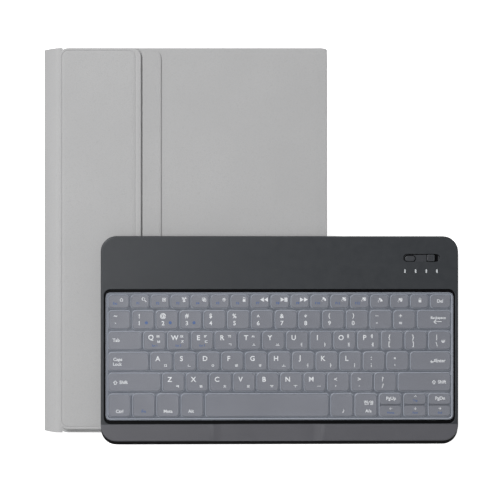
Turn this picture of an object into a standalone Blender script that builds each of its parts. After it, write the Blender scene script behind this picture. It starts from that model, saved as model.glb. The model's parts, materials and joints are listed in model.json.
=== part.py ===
"""Folio case for a ten-inch tablet, closed, with its wireless keyboard and key skin lying on its back.

Metres, +Z up. The origin is the centre of the front cover's outer face, which lies on the table.
The spine is at -X, the top edge of the closed folio is at +Y.
"""

import math

import bmesh
import bpy
from mathutils import Vector

MM = 0.001

# Fits
GAP = 0.3 * MM
TRAY_FIT = 0.45 * MM
SLACK = 0.2 * MM

# Tablet that the tray holds
TABLET_WIDTH = 174.1 * MM
TABLET_LENGTH = 250.6 * MM
TABLET_THICKNESS = 7.5 * MM

# Tray
TRAY_WALL = 1.5 * MM
TRAY_FLOOR = 1.5 * MM
TRAY_RIDGE = 0.5 * MM
TRAY_CORNER = 10.0 * MM
CAMERA_WINDOW = 24.0 * MM
CAMERA_CORNER = 6.0 * MM
CAMERA_INSET_X = 21.4 * MM
CAMERA_INSET_Y = 20.2 * MM
NOTCH_HEIGHT = 5.0 * MM
PORT_NOTCH = 16.0 * MM
VOLUME_NOTCH = 34.0 * MM
POWER_NOTCH = 18.0 * MM
VOLUME_NOTCH_INSET = 62.0 * MM
POWER_NOTCH_INSET = 52.0 * MM

# Folio covers
SKIN = 0.7 * MM
COVER_BOARD = 0.8 * MM
LINING = 0.4 * MM
RIM_WALL = 0.8 * MM
SIDE_MARGIN = 1.8 * MM
END_MARGIN = 3.15 * MM
COVER_CORNER = 2.2 * MM
FOLD_SETBACK = 0.5 * MM
LINING_SETBACK = 3.4 * MM
MAGNET_DIAMETER = 12.0 * MM
MAGNET_EDGE = 9.0 * MM
MAGNET_SPACING = 120.0 * MM

# Spine
SPINE_LEAN = 10.6 * MM
SPINE_SKIN = 0.6 * MM
SPINE_BOARD_SETBACK = 2.4 * MM

# Stand flap
FLAP_WIDTH = 55.4 * MM
FLAP_SPINE_MARGIN = 0.4 * MM
FLAP_TOP_MARGIN = 0.3 * MM
FLAP_BOTTOM_MARGIN = 2.3 * MM
FLAP_LINING = 0.3 * MM
FLAP_BOARD = 0.7 * MM
FLAP_SKIN = 0.6 * MM
FLAP_CORNER = 6.0 * MM
PATCH_WIDTH = 13.1 * MM
PATCH_THICKNESS = 0.4 * MM
PATCH_CORNER = 4.5 * MM
FLAP_MAGNET_WIDTH = 8.0 * MM
FLAP_MAGNET_LENGTH = 40.0 * MM
FLAP_MAGNET_EDGE = 9.0 * MM

# Keyboard outline
CASE_SIDE = 2.25 * MM
PALM_STRIP = 14.15 * MM
REAR_DECK = 35.75 * MM
WELL_SIDE = 3.25 * MM
WELL_FRONT = 5.0 * MM
WELL_REAR = 4.1 * MM
CASE_CORNER = 10.5 * MM
CASE_WALL = 2.0 * MM
CASE_CHAMFER = 1.0 * MM
KEYBOARD_OVERLAP = 26.9 * MM
KEYBOARD_OVERHANG = 7.35 * MM

# Keyboard layers, from the feet up
FOOT_HEIGHT = 0.8 * MM
FOOT_LENGTH = 212.0 * MM
FOOT_WIDTH = 6.0 * MM
FOOT_INSET = 12.0 * MM
BASE_PLATE = 0.7 * MM
SUPPORT_PLATE = 0.4 * MM
MEMBRANE = 0.2 * MM
KEY_TRAVEL = 1.1 * MM
KEY_STOP_GAP = 0.1 * MM
FLANGE = 0.4 * MM
FLANGE_REACH = 0.5 * MM
LATTICE = 0.6 * MM
KEY_RISE = 0.9 * MM
KEY_SKIN = 0.4 * MM
SKIN_SKIRT = 0.5 * MM
SKIN_SIDE = 1.1 * MM
SKIN_REAR = 2.1 * MM
SKIN_FRONT = 2.5 * MM
SKIN_CORNER = 3.4 * MM

# Keys
KEY_WIDTH = 14.15 * MM
KEY_HEIGHT = 11.9 * MM
FUNCTION_KEY_HEIGHT = 8.4 * MM
BOTTOM_KEY_HEIGHT = 15.0 * MM
HALF_KEY_GAP = 0.9 * MM
ROW_GAP = 2.1 * MM
KEY_GAP = 1.85 * MM
FUNCTION_GAP = 1.75 * MM
HOME_GAP = 1.76 * MM
SHIFT_GAP = 1.72 * MM
BOTTOM_GAP = 1.99 * MM
BACKSPACE_WIDTH = 22.0 * MM
ESCAPE_WIDTH = 13.4 * MM
DELETE_WIDTH = 13.2 * MM
TAB_WIDTH = 21.8 * MM
CAPS_WIDTH = 26.5 * MM
SHIFT_WIDTH = 34.6 * MM
CONTROL_WIDTH = 14.3 * MM
ARROW_WIDTH = 14.6 * MM
KEY_CORNER = 1.3 * MM
KEY_TAPER = 0.35 * MM

# Rear deck fittings
SLOT_LENGTH = 24.8 * MM
SLOT_WIDTH = 5.1 * MM
SLOT_DEPTH = 1.4 * MM
SLOT_FROM_SIDE = 24.9 * MM
SLOT_FROM_REAR = 14.7 * MM
KNOB_LENGTH = 5.2 * MM
KNOB_TRAVEL = 2.0 * MM
KNOB_PROUD = 0.2 * MM
KNOB_START = 16.1 * MM
BUTTON_LENGTH = 6.9 * MM
BUTTON_WIDTH = 3.6 * MM
BUTTON_START = 1.2 * MM
BUTTON_TRAVEL = 0.4 * MM
BUTTON_SUNK = 0.1 * MM
WINDOW_COUNT = 4
WINDOW_PITCH = 7.2 * MM
WINDOW_WIDTH = 1.2 * MM
WINDOW_LENGTH = 2.7 * MM
WINDOW_BELOW_SLOT = 8.9 * MM
GUIDE_BAR = 0.4 * MM
SCOOP_DEPTH = 0.7 * MM
SCOOP_END = 9.0 * MM

# Electronics
BATTERY_SIDE_INSET = 25.0 * MM
BATTERY_CIRCUIT_GAP = 14.0 * MM
BATTERY_WIDTH = 30.0 * MM
BATTERY_THICKNESS = 2.2 * MM
CIRCUIT_LENGTH = 82.0 * MM
CIRCUIT_THICKNESS = 1.0 * MM
CIRCUIT_SIDE_INSET = 6.0 * MM
PORT_WIDTH = 8.0 * MM
PORT_DEPTH = 8.0 * MM
PORT_HEIGHT = 2.45 * MM

# Heights of the folio's layers
FRONT_BOARD_Z = SKIN + GAP
FRONT_RIM_Z = FRONT_BOARD_Z + COVER_BOARD + 0.1 * MM
LINING_Z = FRONT_RIM_Z + GAP
TRAY_Z = LINING_Z + LINING + GAP
CAVITY_Z = TRAY_Z + TABLET_THICKNESS + SLACK
TRAY_TOP = CAVITY_Z + TRAY_FLOOR
BACK_BOARD_Z = TRAY_TOP + GAP
BACK_SKIN_Z = BACK_BOARD_Z + COVER_BOARD + GAP
BACK_TOP = BACK_SKIN_Z + SKIN - 0.1 * MM
FLAP_Z = BACK_TOP + GAP
FLAP_BOARD_Z = FLAP_Z + FLAP_LINING + GAP
FLAP_SKIN_Z = FLAP_BOARD_Z + FLAP_BOARD + GAP
FLAP_TOP = FLAP_SKIN_Z + FLAP_SKIN

# Plan of the folio
TRAY_WIDTH = TABLET_WIDTH + 2 * (TRAY_FIT + TRAY_WALL)
TRAY_LENGTH = TABLET_LENGTH + 2 * (TRAY_FIT + TRAY_WALL)
BACK_WIDTH = TRAY_WIDTH + 2 * SIDE_MARGIN
COVER_LENGTH = TRAY_LENGTH + 2 * END_MARGIN
LOWER_FOLD_Z = FRONT_RIM_Z - 0.6 * MM
UPPER_FOLD_Z = BACK_TOP - 1.1 * MM
SPINE_WIDTH = math.hypot(SPINE_LEAN, UPPER_FOLD_Z - LOWER_FOLD_Z)
FRONT_WIDTH = BACK_WIDTH + SPINE_LEAN
FRONT_X = FRONT_WIDTH / 2
LOWER_FOLD_X = -FRONT_X - FOLD_SETBACK
UPPER_FOLD_X = LOWER_FOLD_X + SPINE_LEAN
BACK_LEFT = UPPER_FOLD_X + FOLD_SETBACK
BACK_RIGHT = BACK_LEFT + BACK_WIDTH
COVER_Y = COVER_LENGTH / 2
TRAY_LEFT = BACK_LEFT + SIDE_MARGIN
TRAY_RIGHT = TRAY_LEFT + TRAY_WIDTH
TRAY_Y = TRAY_LENGTH / 2
FLAP_LEFT = BACK_LEFT + FLAP_SPINE_MARGIN
FLAP_RIGHT = FLAP_LEFT + FLAP_WIDTH
FLAP_Y0 = -COVER_Y + FLAP_BOTTOM_MARGIN
FLAP_Y1 = COVER_Y - FLAP_TOP_MARGIN
FLAP_FOLD_X = FLAP_RIGHT + GAP / 2
FLAP_FOLD_Z = FLAP_Z + PATCH_THICKNESS / 2

# Plan of the keyboard, about its own centre
FIELD_WIDTH = 13 * (KEY_WIDTH + KEY_GAP) + BACKSPACE_WIDTH
FIELD_DEPTH = FUNCTION_KEY_HEIGHT + 4 * KEY_HEIGHT + BOTTOM_KEY_HEIGHT + 5 * ROW_GAP
CASE_WIDTH = FIELD_WIDTH + 2 * (WELL_SIDE + CASE_SIDE)
CASE_LENGTH = PALM_STRIP + WELL_FRONT + FIELD_DEPTH + WELL_REAR + REAR_DECK
CASE_X = CASE_WIDTH / 2
CASE_Y = CASE_LENGTH / 2
WELL_X = CASE_X - CASE_SIDE
WELL_Y0 = -CASE_Y + PALM_STRIP
WELL_Y1 = CASE_Y - REAR_DECK
FIELD_X = WELL_X - WELL_SIDE
FIELD_Y0 = WELL_Y0 + WELL_FRONT
FIELD_Y1 = WELL_Y1 - WELL_REAR

# Heights of the keyboard's layers, above the soles of its feet
BASE_Z = FOOT_HEIGHT + GAP
SUPPORT_Z = BASE_Z + BASE_PLATE + GAP
MEMBRANE_Z = SUPPORT_Z + SUPPORT_PLATE + GAP
FLANGE_Z = MEMBRANE_Z + MEMBRANE + KEY_STOP_GAP + KEY_TRAVEL
LATTICE_Z = FLANGE_Z + FLANGE + GAP
LATTICE_TOP = LATTICE_Z + LATTICE
KEY_TOP = LATTICE_TOP + KEY_RISE
DECK_TOP = KEY_TOP + GAP
SLOT_FLOOR = DECK_TOP - SLOT_DEPTH

# How the keyboard lies: on the flap's free edge and on the back cover's far edge
TILT = math.atan2(FLAP_TOP - BACK_TOP, BACK_RIGHT - FLAP_RIGHT)
KEYBOARD_X = FLAP_RIGHT - KEYBOARD_OVERLAP + CASE_X
KEYBOARD_Y = -COVER_Y - KEYBOARD_OVERHANG + CASE_Y
KEYBOARD_Z = FLAP_TOP + GAP - (KEYBOARD_X - FLAP_RIGHT) * math.tan(TILT)

COLOURS = {
    "leather": ((177, 178, 180), 0.62, 0.0),
    "board": ((196, 188, 172), 0.9, 0.0),
    "lining": ((150, 151, 154), 0.85, 0.0),
    "tray_plastic": ((168, 169, 172), 0.45, 0.0),
    "steel": ((190, 190, 192), 0.3, 1.0),
    "magnet": ((150, 150, 155), 0.25, 1.0),
    "deck_plastic": ((64, 67, 71), 0.42, 0.0),
    "base_plastic": ((40, 42, 45), 0.5, 0.0),
    "key_plastic": ((58, 60, 64), 0.5, 0.0),
    "membrane": ((205, 208, 204), 0.4, 0.0),
    "battery_foil": ((176, 178, 182), 0.35, 0.6),
    "circuit": ((38, 92, 62), 0.45, 0.0),
    "guide": ((238, 240, 240), 0.25, 0.0),
    "rubber": ((34, 34, 36), 0.85, 0.0),
    "silicone": ((132, 138, 148), 0.4, 0.0),
    "knob": ((30, 31, 34), 0.4, 0.0),
}


def linear(value):
    value = value / 255
    return value / 12.92 if value <= 0.04045 else ((value + 0.055) / 1.055) ** 2.4


def material(kind, name):
    colour, roughness, metallic = COLOURS[kind]
    made = bpy.data.materials.new(name)
    made.use_nodes = True
    shader = made.node_tree.nodes["Principled BSDF"]
    rgba = [linear(value) for value in colour] + [1.0]
    shader.inputs["Base Color"].default_value = rgba
    shader.inputs["Roughness"].default_value = roughness
    shader.inputs["Metallic"].default_value = metallic
    made.diffuse_color = rgba
    return made


def outline(x0, x1, y0, y1, radius, steps=4):
    """A rounded rectangle, anticlockwise. steps is the number of sides in each corner."""
    radius = min(radius, (x1 - x0) / 2.01, (y1 - y0) / 2.01)
    centres = (
        (x1 - radius, y0 + radius),
        (x1 - radius, y1 - radius),
        (x0 + radius, y1 - radius),
        (x0 + radius, y0 + radius),
    )
    points = []
    for corner, (cx, cy) in enumerate(centres):
        for step in range(steps + 1):
            angle = math.radians(-90 + 90 * corner + 90 * step / steps)
            points.append((cx + radius * math.cos(angle), cy + radius * math.sin(angle)))
    return points


def inset(x0, x1, y0, y1, radius, amount, steps=4):
    """The rounded rectangle that lies inside the given one by amount, with the same number of points."""
    return outline(x0 + amount, x1 - amount, y0 + amount, y1 - amount, max(radius - amount, 0.2 * MM), steps)


def add_loft(bm, rings):
    """Adds the closed surface through rings of (points, height), capped at its first and last ring."""
    levels = [[bm.verts.new((x, y, z)) for x, y in points] for points, z in rings]
    count = len(levels[0])
    made = [bm.faces.new(levels[0]), bm.faces.new(levels[-1])]
    for lower, upper in zip(levels, levels[1:]):
        for i in range(count):
            j = (i + 1) % count
            made.append(bm.faces.new((lower[i], lower[j], upper[j], upper[i])))
    bmesh.ops.recalc_face_normals(bm, faces=made)


def loft(rings):
    bm = bmesh.new()
    add_loft(bm, rings)
    return bm


def plate(x0, x1, y0, y1, z0, z1, radius=0.5 * MM, steps=2):
    points = outline(x0, x1, y0, y1, radius, steps)
    return loft([(points, z0), (points, z1)])


def pan(x0, x1, y0, y1, floor, rim, face, radius, wall, edge, steps=4):
    """A sheet with a turned rim: face is its outer face, floor its inner one, rim the rim's end."""
    outer = outline(x0, x1, y0, y1, radius, steps)
    inner = inset(x0, x1, y0, y1, radius, wall, steps)
    softened = inset(x0, x1, y0, y1, radius, edge, steps)
    shoulder = face + math.copysign(edge, rim - face)
    return loft([(inner, floor), (inner, rim), (outer, rim), (outer, shoulder), (softened, face)])


def pivot(name, location, parent=None, tilt=0.0):
    """An empty on a joint's axis. location is in world coordinates."""
    empty = bpy.data.objects.new(name, None)
    bpy.context.scene.collection.objects.link(empty)
    empty.empty_display_size = 20 * MM
    offset = Vector(location)
    if parent is not None:
        empty.parent = parent
        offset = offset - Vector(parent["place"])
    empty.location = offset
    empty.rotation_euler = (0.0, tilt, 0.0)
    empty["place"] = list(location)
    return empty


def piece(name, bm, kind, parent=None, origin=(0.0, 0.0, 0.0), smooth=None):
    """Makes an object from bm. origin is the object's origin, in bm's coordinates."""
    bmesh.ops.translate(bm, verts=bm.verts, vec=-Vector(origin))
    mesh = bpy.data.meshes.new(name)
    bm.to_mesh(mesh)
    bm.free()
    made = bpy.data.objects.new(name, mesh)
    bpy.context.scene.collection.objects.link(made)
    if kind is not None:
        mesh.materials.append(material(kind, name + "_material"))
    if smooth is not None:
        mesh.shade_smooth()
        mesh.set_sharp_from_angle(angle=math.radians(smooth))
    made.parent = parent
    return made


def folio_piece(name, bm, kind, axis=None):
    """A piece built in world coordinates, with its origin on its pivot."""
    if axis is None:
        return piece(name, bm, kind, smooth=35)
    return piece(name, bm, kind, axis, axis["place"], smooth=35)


def keyboard_piece(name, bm, kind, origin=(0.0, 0.0, 0.0)):
    """A piece built in the keyboard's coordinates, with its origin at the given point of them."""
    made = piece(name, bm, kind, keyboard_frame, origin, smooth=35)
    made.location = origin
    return made


def boolean(target, operand, operation="DIFFERENCE"):
    operand.hide_render = True
    operand.display_type = "WIRE"
    modifier = target.modifiers.new(operand.name, "BOOLEAN")
    modifier.operation = operation
    modifier.solver = "EXACT"
    modifier.object = operand


def folio_cut(target, name, bm, axis):
    boolean(target, folio_piece(name, bm, None, axis))


def keyboard_cut(target, name, bm):
    boolean(target, keyboard_piece(name, bm, None))


def disc(cx, cy, radius, z0, z1, steps=24):
    angles = [math.tau * i / steps for i in range(steps)]
    ring = [(cx + radius * math.cos(angle), cy + radius * math.sin(angle)) for angle in angles]
    return loft([(ring, z0), (ring, z1)])


for leftover in list(bpy.data.objects):
    bpy.data.objects.remove(leftover)

lower_fold = pivot("lower_fold", (LOWER_FOLD_X, 0.0, LOWER_FOLD_Z))
upper_fold = pivot("upper_fold", (UPPER_FOLD_X, 0.0, UPPER_FOLD_Z), lower_fold)
flap_fold = pivot("flap_fold", (FLAP_FOLD_X, 0.0, FLAP_FOLD_Z), upper_fold)
keyboard_frame = pivot("keyboard_frame", (KEYBOARD_X, KEYBOARD_Y, KEYBOARD_Z), upper_fold, TILT)

# Front cover, face down on the table
front = (-FRONT_X, FRONT_X, -COVER_Y, COVER_Y)
board_inset = RIM_WALL + GAP
folio_piece(
    "front_cover_skin",
    pan(*front, SKIN, FRONT_RIM_Z, 0.0, COVER_CORNER, RIM_WALL, 0.4 * MM),
    "leather",
)
front_board = folio_piece(
    "front_cover_board",
    loft([(inset(*front, COVER_CORNER, board_inset), z) for z in (FRONT_BOARD_Z, FRONT_BOARD_Z + COVER_BOARD)]),
    "board",
)
lining_edge = 0.3 * MM
front_lining = (
    -FRONT_X + LINING_SETBACK,
    FRONT_X - lining_edge,
    -COVER_Y + lining_edge,
    COVER_Y - lining_edge,
)
folio_piece(
    "front_cover_lining",
    plate(*front_lining, LINING_Z, LINING_Z + LINING, COVER_CORNER),
    "lining",
)
for side, name in ((1, "front_magnet_upper"), (-1, "front_magnet_lower")):
    place = (FRONT_X - MAGNET_EDGE, side * MAGNET_SPACING / 2)
    hole = disc(*place, MAGNET_DIAMETER / 2 + GAP, 0.0, FRONT_BOARD_Z + 2 * COVER_BOARD)
    folio_cut(front_board, name + "_pocket", hole, None)
    folio_piece(name, disc(*place, MAGNET_DIAMETER / 2, FRONT_BOARD_Z, FRONT_BOARD_Z + COVER_BOARD), "magnet")

# Spine, leaning from the lower fold up to the upper fold
along = Vector((UPPER_FOLD_X - LOWER_FOLD_X, 0.0, UPPER_FOLD_Z - LOWER_FOLD_Z)).normalized()
outward = Vector((-along.z, 0.0, along.x))


def spine_bar(start, end, inner, outer, y):
    """A strip of the spine between two distances along it and two along its outward normal."""
    bm = bmesh.new()
    corners = []
    for side in (-1, 1):
        for s, t in ((start, inner), (end, inner), (end, outer), (start, outer)):
            point = Vector(lower_fold["place"]) + along * s + outward * t
            corners.append(bm.verts.new((point.x, side * y, point.z)))
    near, far = corners[:4], corners[4:]
    bm.faces.new(near)
    bm.faces.new(far)
    for i in range(4):
        j = (i + 1) % 4
        bm.faces.new((near[i], near[j], far[j], far[i]))
    bmesh.ops.recalc_face_normals(bm, faces=bm.faces)
    return bm


folio_piece(
    "spine_skin",
    spine_bar(FOLD_SETBACK, SPINE_WIDTH - FOLD_SETBACK, GAP, GAP + SPINE_SKIN, COVER_Y),
    "leather",
    lower_fold,
)
spine_board_end = SPINE_WIDTH - SPINE_BOARD_SETBACK
folio_piece(
    "spine_board",
    spine_bar(SPINE_BOARD_SETBACK, spine_board_end, -COVER_BOARD, 0.0, COVER_Y - board_inset),
    "board",
    lower_fold,
)

# Tray, open downwards
tray = (TRAY_LEFT, TRAY_RIGHT, -TRAY_Y, TRAY_Y)
tray_rings = [
    (inset(*tray, TRAY_CORNER, 1.2 * MM), TRAY_TOP),
    (outline(*tray, TRAY_CORNER), TRAY_TOP - 1.2 * MM),
    (outline(*tray, TRAY_CORNER), TRAY_Z),
    (inset(*tray, TRAY_CORNER, TRAY_WALL + TRAY_RIDGE), TRAY_Z),
    (inset(*tray, TRAY_CORNER, TRAY_WALL + TRAY_RIDGE), TRAY_Z + 0.5 * MM),
    (inset(*tray, TRAY_CORNER, TRAY_WALL), TRAY_Z + 1.0 * MM),
    (inset(*tray, TRAY_CORNER, TRAY_WALL), CAVITY_Z),
]
tablet_tray = folio_piece("tablet_tray", loft(tray_rings), "tray_plastic", upper_fold)
notch_z = (TRAY_Z + CAVITY_Z) / 2
tray_centre = (TRAY_LEFT + TRAY_RIGHT) / 2
volume_y = -TRAY_Y + VOLUME_NOTCH_INSET
power_x = TRAY_RIGHT - POWER_NOTCH_INSET


def notch(x, y, length_x, length_y):
    half_x, half_y = length_x / 2, length_y / 2
    z0, z1 = notch_z - NOTCH_HEIGHT / 2, notch_z + NOTCH_HEIGHT / 2
    return plate(x - half_x, x + half_x, y - half_y, y + half_y, z0, z1, 0.1 * MM, 1)


folio_cut(tablet_tray, "port_notch", notch(tray_centre, TRAY_Y, PORT_NOTCH, 6 * TRAY_WALL), upper_fold)
folio_cut(tablet_tray, "volume_notch", notch(TRAY_RIGHT, volume_y, 6 * TRAY_WALL, VOLUME_NOTCH), upper_fold)
folio_cut(tablet_tray, "power_notch", notch(power_x, -TRAY_Y, POWER_NOTCH, 6 * TRAY_WALL), upper_fold)

# Back cover over the tray
back = (BACK_LEFT, BACK_RIGHT, -COVER_Y, COVER_Y)
back_skin = folio_piece(
    "back_cover_skin",
    pan(*back, BACK_SKIN_Z, BACK_BOARD_Z, BACK_TOP, COVER_CORNER, RIM_WALL, 0.4 * MM),
    "leather",
    upper_fold,
)
back_board = folio_piece(
    "back_cover_board",
    loft([(inset(*back, COVER_CORNER, board_inset), z) for z in (BACK_BOARD_Z, BACK_BOARD_Z + COVER_BOARD)]),
    "board",
    upper_fold,
)
window_x = TRAY_RIGHT - CAMERA_INSET_X
window_y = -TRAY_Y + CAMERA_INSET_Y
window_half = CAMERA_WINDOW / 2
for target, name, growth in (
    (tablet_tray, "tray_window", 0.0),
    (back_board, "board_window", 0.5 * MM),
    (back_skin, "skin_window", 0.0),
):
    half = window_half + growth
    window = (window_x - half, window_x + half, window_y - half, window_y + half)
    hole = plate(*window, CAVITY_Z - MM, FLAP_TOP, CAMERA_CORNER, 4)
    folio_cut(target, name, hole, upper_fold)
catch_x = FLAP_LEFT + FLAP_MAGNET_EDGE
catch = (
    catch_x - FLAP_MAGNET_WIDTH / 2,
    catch_x + FLAP_MAGNET_WIDTH / 2,
    -FLAP_MAGNET_LENGTH / 2,
    FLAP_MAGNET_LENGTH / 2,
)
catch_hole = (catch[0] - GAP, catch[1] + GAP, catch[2] - GAP, catch[3] + GAP)
folio_cut(back_board, "catch_pocket", plate(*catch_hole, CAVITY_Z, BACK_TOP, 1.3 * MM), upper_fold)
catch_plate = plate(*catch, BACK_BOARD_Z, BACK_BOARD_Z + COVER_BOARD, MM)
folio_piece("flap_catch_plate", catch_plate, "steel", upper_fold)

# Hinge patch and stand flap
folio_piece(
    "flap_hinge_patch",
    plate(
        FLAP_RIGHT + GAP,
        FLAP_RIGHT + GAP + PATCH_WIDTH,
        -COVER_Y + FLAP_BOTTOM_MARGIN,
        COVER_Y - FLAP_BOTTOM_MARGIN,
        FLAP_Z,
        FLAP_Z + PATCH_THICKNESS,
        PATCH_CORNER,
        4,
    ),
    "leather",
    upper_fold,
)
flap = (FLAP_LEFT, FLAP_RIGHT, FLAP_Y0, FLAP_Y1)
folio_piece(
    "flap_skin",
    pan(*flap, FLAP_SKIN_Z, FLAP_BOARD_Z, FLAP_TOP, FLAP_CORNER, RIM_WALL, 0.3 * MM),
    "leather",
    flap_fold,
)
flap_board = folio_piece(
    "flap_board",
    loft([(inset(*flap, FLAP_CORNER, board_inset), z) for z in (FLAP_BOARD_Z, FLAP_BOARD_Z + FLAP_BOARD)]),
    "board",
    flap_fold,
)
folio_piece(
    "flap_lining",
    loft([(inset(*flap, FLAP_CORNER, 0.2 * MM), z) for z in (FLAP_Z, FLAP_Z + FLAP_LINING)]),
    "lining",
    flap_fold,
)
folio_cut(flap_board, "flap_magnet_pocket", plate(*catch_hole, FLAP_Z, FLAP_TOP, 1.3 * MM), flap_fold)
folio_piece("flap_magnet", plate(*catch, FLAP_BOARD_Z, FLAP_BOARD_Z + FLAP_BOARD, MM), "magnet", flap_fold)

# Keys: each row is listed by its widths, and a width of None shares what the others leave
ROWS = (
    (FUNCTION_KEY_HEIGHT, FUNCTION_GAP, (ESCAPE_WIDTH,) + (None,) * 15 + (DELETE_WIDTH,)),
    (KEY_HEIGHT, KEY_GAP, (KEY_WIDTH,) * 13 + (BACKSPACE_WIDTH,)),
    (KEY_HEIGHT, KEY_GAP, (TAB_WIDTH,) + (KEY_WIDTH,) * 12 + (None,)),
    (KEY_HEIGHT, HOME_GAP, (CAPS_WIDTH,) + (KEY_WIDTH,) * 11 + (None,)),
    (KEY_HEIGHT, SHIFT_GAP, (SHIFT_WIDTH,) + (KEY_WIDTH,) * 10 + (None,)),
    (
        BOTTOM_KEY_HEIGHT,
        BOTTOM_GAP,
        (CONTROL_WIDTH,) * 4 + (None,) + (CONTROL_WIDTH,) * 2 + (ARROW_WIDTH,) * 3,
    ),
)
NAMES = (
    (("keys_esc_to_f4", 5), ("keys_f5_to_f8", 4), ("keys_f9_to_f12", 4), ("keys_mute_to_delete", 4)),
    (("keys_grave_to_5", 6), ("keys_6_to_equals", 7), ("key_backspace", 1)),
    (("key_tab", 1), ("keys_q_to_t", 5), ("keys_y_to_backslash", 8)),
    (("key_caps_lock", 1), ("keys_a_to_g", 5), ("keys_h_to_quote", 6), ("key_enter", 1)),
    (("key_shift_left", 1), ("keys_z_to_b", 5), ("keys_n_to_slash", 5), ("key_shift_right", 1)),
    (
        ("key_ctrl", 1),
        ("key_fn", 1),
        ("key_meta", 1),
        ("key_alt", 1),
        ("key_space", 1),
        ("key_media", 1),
        ("key_language", 1),
        (("key_page_up", "key_arrow_left"), 1),
        (("key_arrow_up", "key_arrow_down"), 1),
        (("key_page_down", "key_arrow_right"), 1),
    ),
)


def row_boxes(top, height, gap, widths):
    """The (x0, x1, y0, y1) of each key of a row, left to right."""
    spare = FIELD_WIDTH - gap * (len(widths) - 1) - sum(width for width in widths if width)
    share = spare / max(1, widths.count(None))
    x = -FIELD_X
    boxes = []
    for width in widths:
        width = width or share
        boxes.append((x, x + width, top - height, top))
        x += width + gap
    return boxes


key_boxes = {}
row_top = FIELD_Y1
for (row_height, row_gap, row_widths), row_names in zip(ROWS, NAMES):
    boxes = row_boxes(row_top, row_height, row_gap, row_widths)
    for names, count in row_names:
        taken, boxes = boxes[:count], boxes[count:]
        if isinstance(names, tuple):
            x0, x1, y0, y1 = taken[0]
            middle = (y0 + y1) / 2
            key_boxes[names[0]] = [(x0, x1, middle + HALF_KEY_GAP / 2, y1)]
            key_boxes[names[1]] = [(x0, x1, y0, middle - HALF_KEY_GAP / 2)]
        else:
            key_boxes[names] = taken
    row_top -= row_height + ROW_GAP


def flange_of(boxes):
    """The retaining flange under a key or a run of keys, held short of the next half-height key."""
    reach_y = min(FLANGE_REACH, (HALF_KEY_GAP - GAP) / 2)
    x0, x1 = boxes[0][0] - FLANGE_REACH, boxes[-1][1] + FLANGE_REACH
    return outline(x0, x1, boxes[0][2] - reach_y, boxes[0][3] + reach_y, KEY_CORNER, 1)


for name, boxes in key_boxes.items():
    centre = ((boxes[0][0] + boxes[-1][1]) / 2, (boxes[0][2] + boxes[0][3]) / 2, FLANGE_Z)
    if len(boxes) == 1:
        rings = [
            (flange_of(boxes), FLANGE_Z),
            (flange_of(boxes), FLANGE_Z + FLANGE),
            (outline(*boxes[0], KEY_CORNER, 1), FLANGE_Z + FLANGE),
            (outline(*boxes[0], KEY_CORNER, 1), LATTICE_TOP),
            (inset(*boxes[0], KEY_CORNER, KEY_TAPER, 1), KEY_TOP),
        ]
        keyboard_piece(name, loft(rings), "key_plastic", centre)
        continue
    rings = [(flange_of(boxes), z) for z in (FLANGE_Z, FLANGE_Z + FLANGE)]
    run = keyboard_piece(name, loft(rings), "key_plastic", centre)
    caps = bmesh.new()
    for box in boxes:
        low = outline(*box, KEY_CORNER, 1)
        high = inset(*box, KEY_CORNER, KEY_TAPER, 1)
        add_loft(caps, [(low, FLANGE_Z + FLANGE / 2), (low, LATTICE_TOP), (high, KEY_TOP)])
    boolean(run, keyboard_piece(name + "_caps", caps, None, centre), "UNION")

# Top case: one moulding with the deck, the well, a hole for each key and the pocket underneath
case = (-CASE_X, CASE_X, -CASE_Y, CASE_Y)
case_rings = [
    (inset(*case, CASE_CORNER, CASE_CHAMFER), BASE_Z),
    (outline(*case, CASE_CORNER), BASE_Z + 1.5 * CASE_CHAMFER),
    (outline(*case, CASE_CORNER), DECK_TOP - CASE_CHAMFER),
    (inset(*case, CASE_CORNER, CASE_CHAMFER * 0.8), DECK_TOP),
]
top_case = keyboard_piece("keyboard_top_case", loft(case_rings), "deck_plastic")
pocket = inset(*case, CASE_CORNER, CASE_WALL)
keyboard_cut(top_case, "pocket_cut", loft([(pocket, 0.0), (pocket, LATTICE_Z)]))
well = (-WELL_X, WELL_X, WELL_Y0, WELL_Y1)
keyboard_cut(top_case, "well_cut", plate(*well, LATTICE_TOP, DECK_TOP + MM, 4.4 * MM, 4))
holes = bmesh.new()
for boxes in key_boxes.values():
    for x0, x1, y0, y1 in boxes:
        hole = outline(x0 - GAP, x1 + GAP, y0 - GAP, y1 + GAP, 0.0, 1)
        corners = [hole[0], hole[2], hole[4], hole[6]]
        add_loft(holes, [(corners, LATTICE_Z - MM), (corners, LATTICE_TOP + 0.5 * MM)])
keyboard_cut(top_case, "key_holes", holes)

# Thumb scoop in the palm strip, in front of the space bar
space_x0, space_x1 = key_boxes["key_space"][0][:2]
scoop = bmesh.new()
scoop_profile = (
    (space_x0 + 2 * MM, DECK_TOP + 0.01 * MM),
    (space_x0 + 2 * MM + SCOOP_END, DECK_TOP - SCOOP_DEPTH),
    (space_x1 - 2 * MM - SCOOP_END, DECK_TOP - SCOOP_DEPTH),
    (space_x1 - 2 * MM, DECK_TOP + 0.01 * MM),
    (space_x1 - 2 * MM, DECK_TOP + MM),
    (space_x0 + 2 * MM, DECK_TOP + MM),
)
ends = [[scoop.verts.new((x, y, z)) for x, z in scoop_profile] for y in (-CASE_Y - MM, WELL_Y0 + MM)]
scoop.faces.new(ends[0])
scoop.faces.new(ends[1])
for i in range(len(scoop_profile)):
    j = (i + 1) % len(scoop_profile)
    scoop.faces.new((ends[0][i], ends[0][j], ends[1][j], ends[1][i]))
bmesh.ops.recalc_face_normals(scoop, faces=scoop.faces)
keyboard_cut(top_case, "scoop_cut", scoop)

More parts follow.
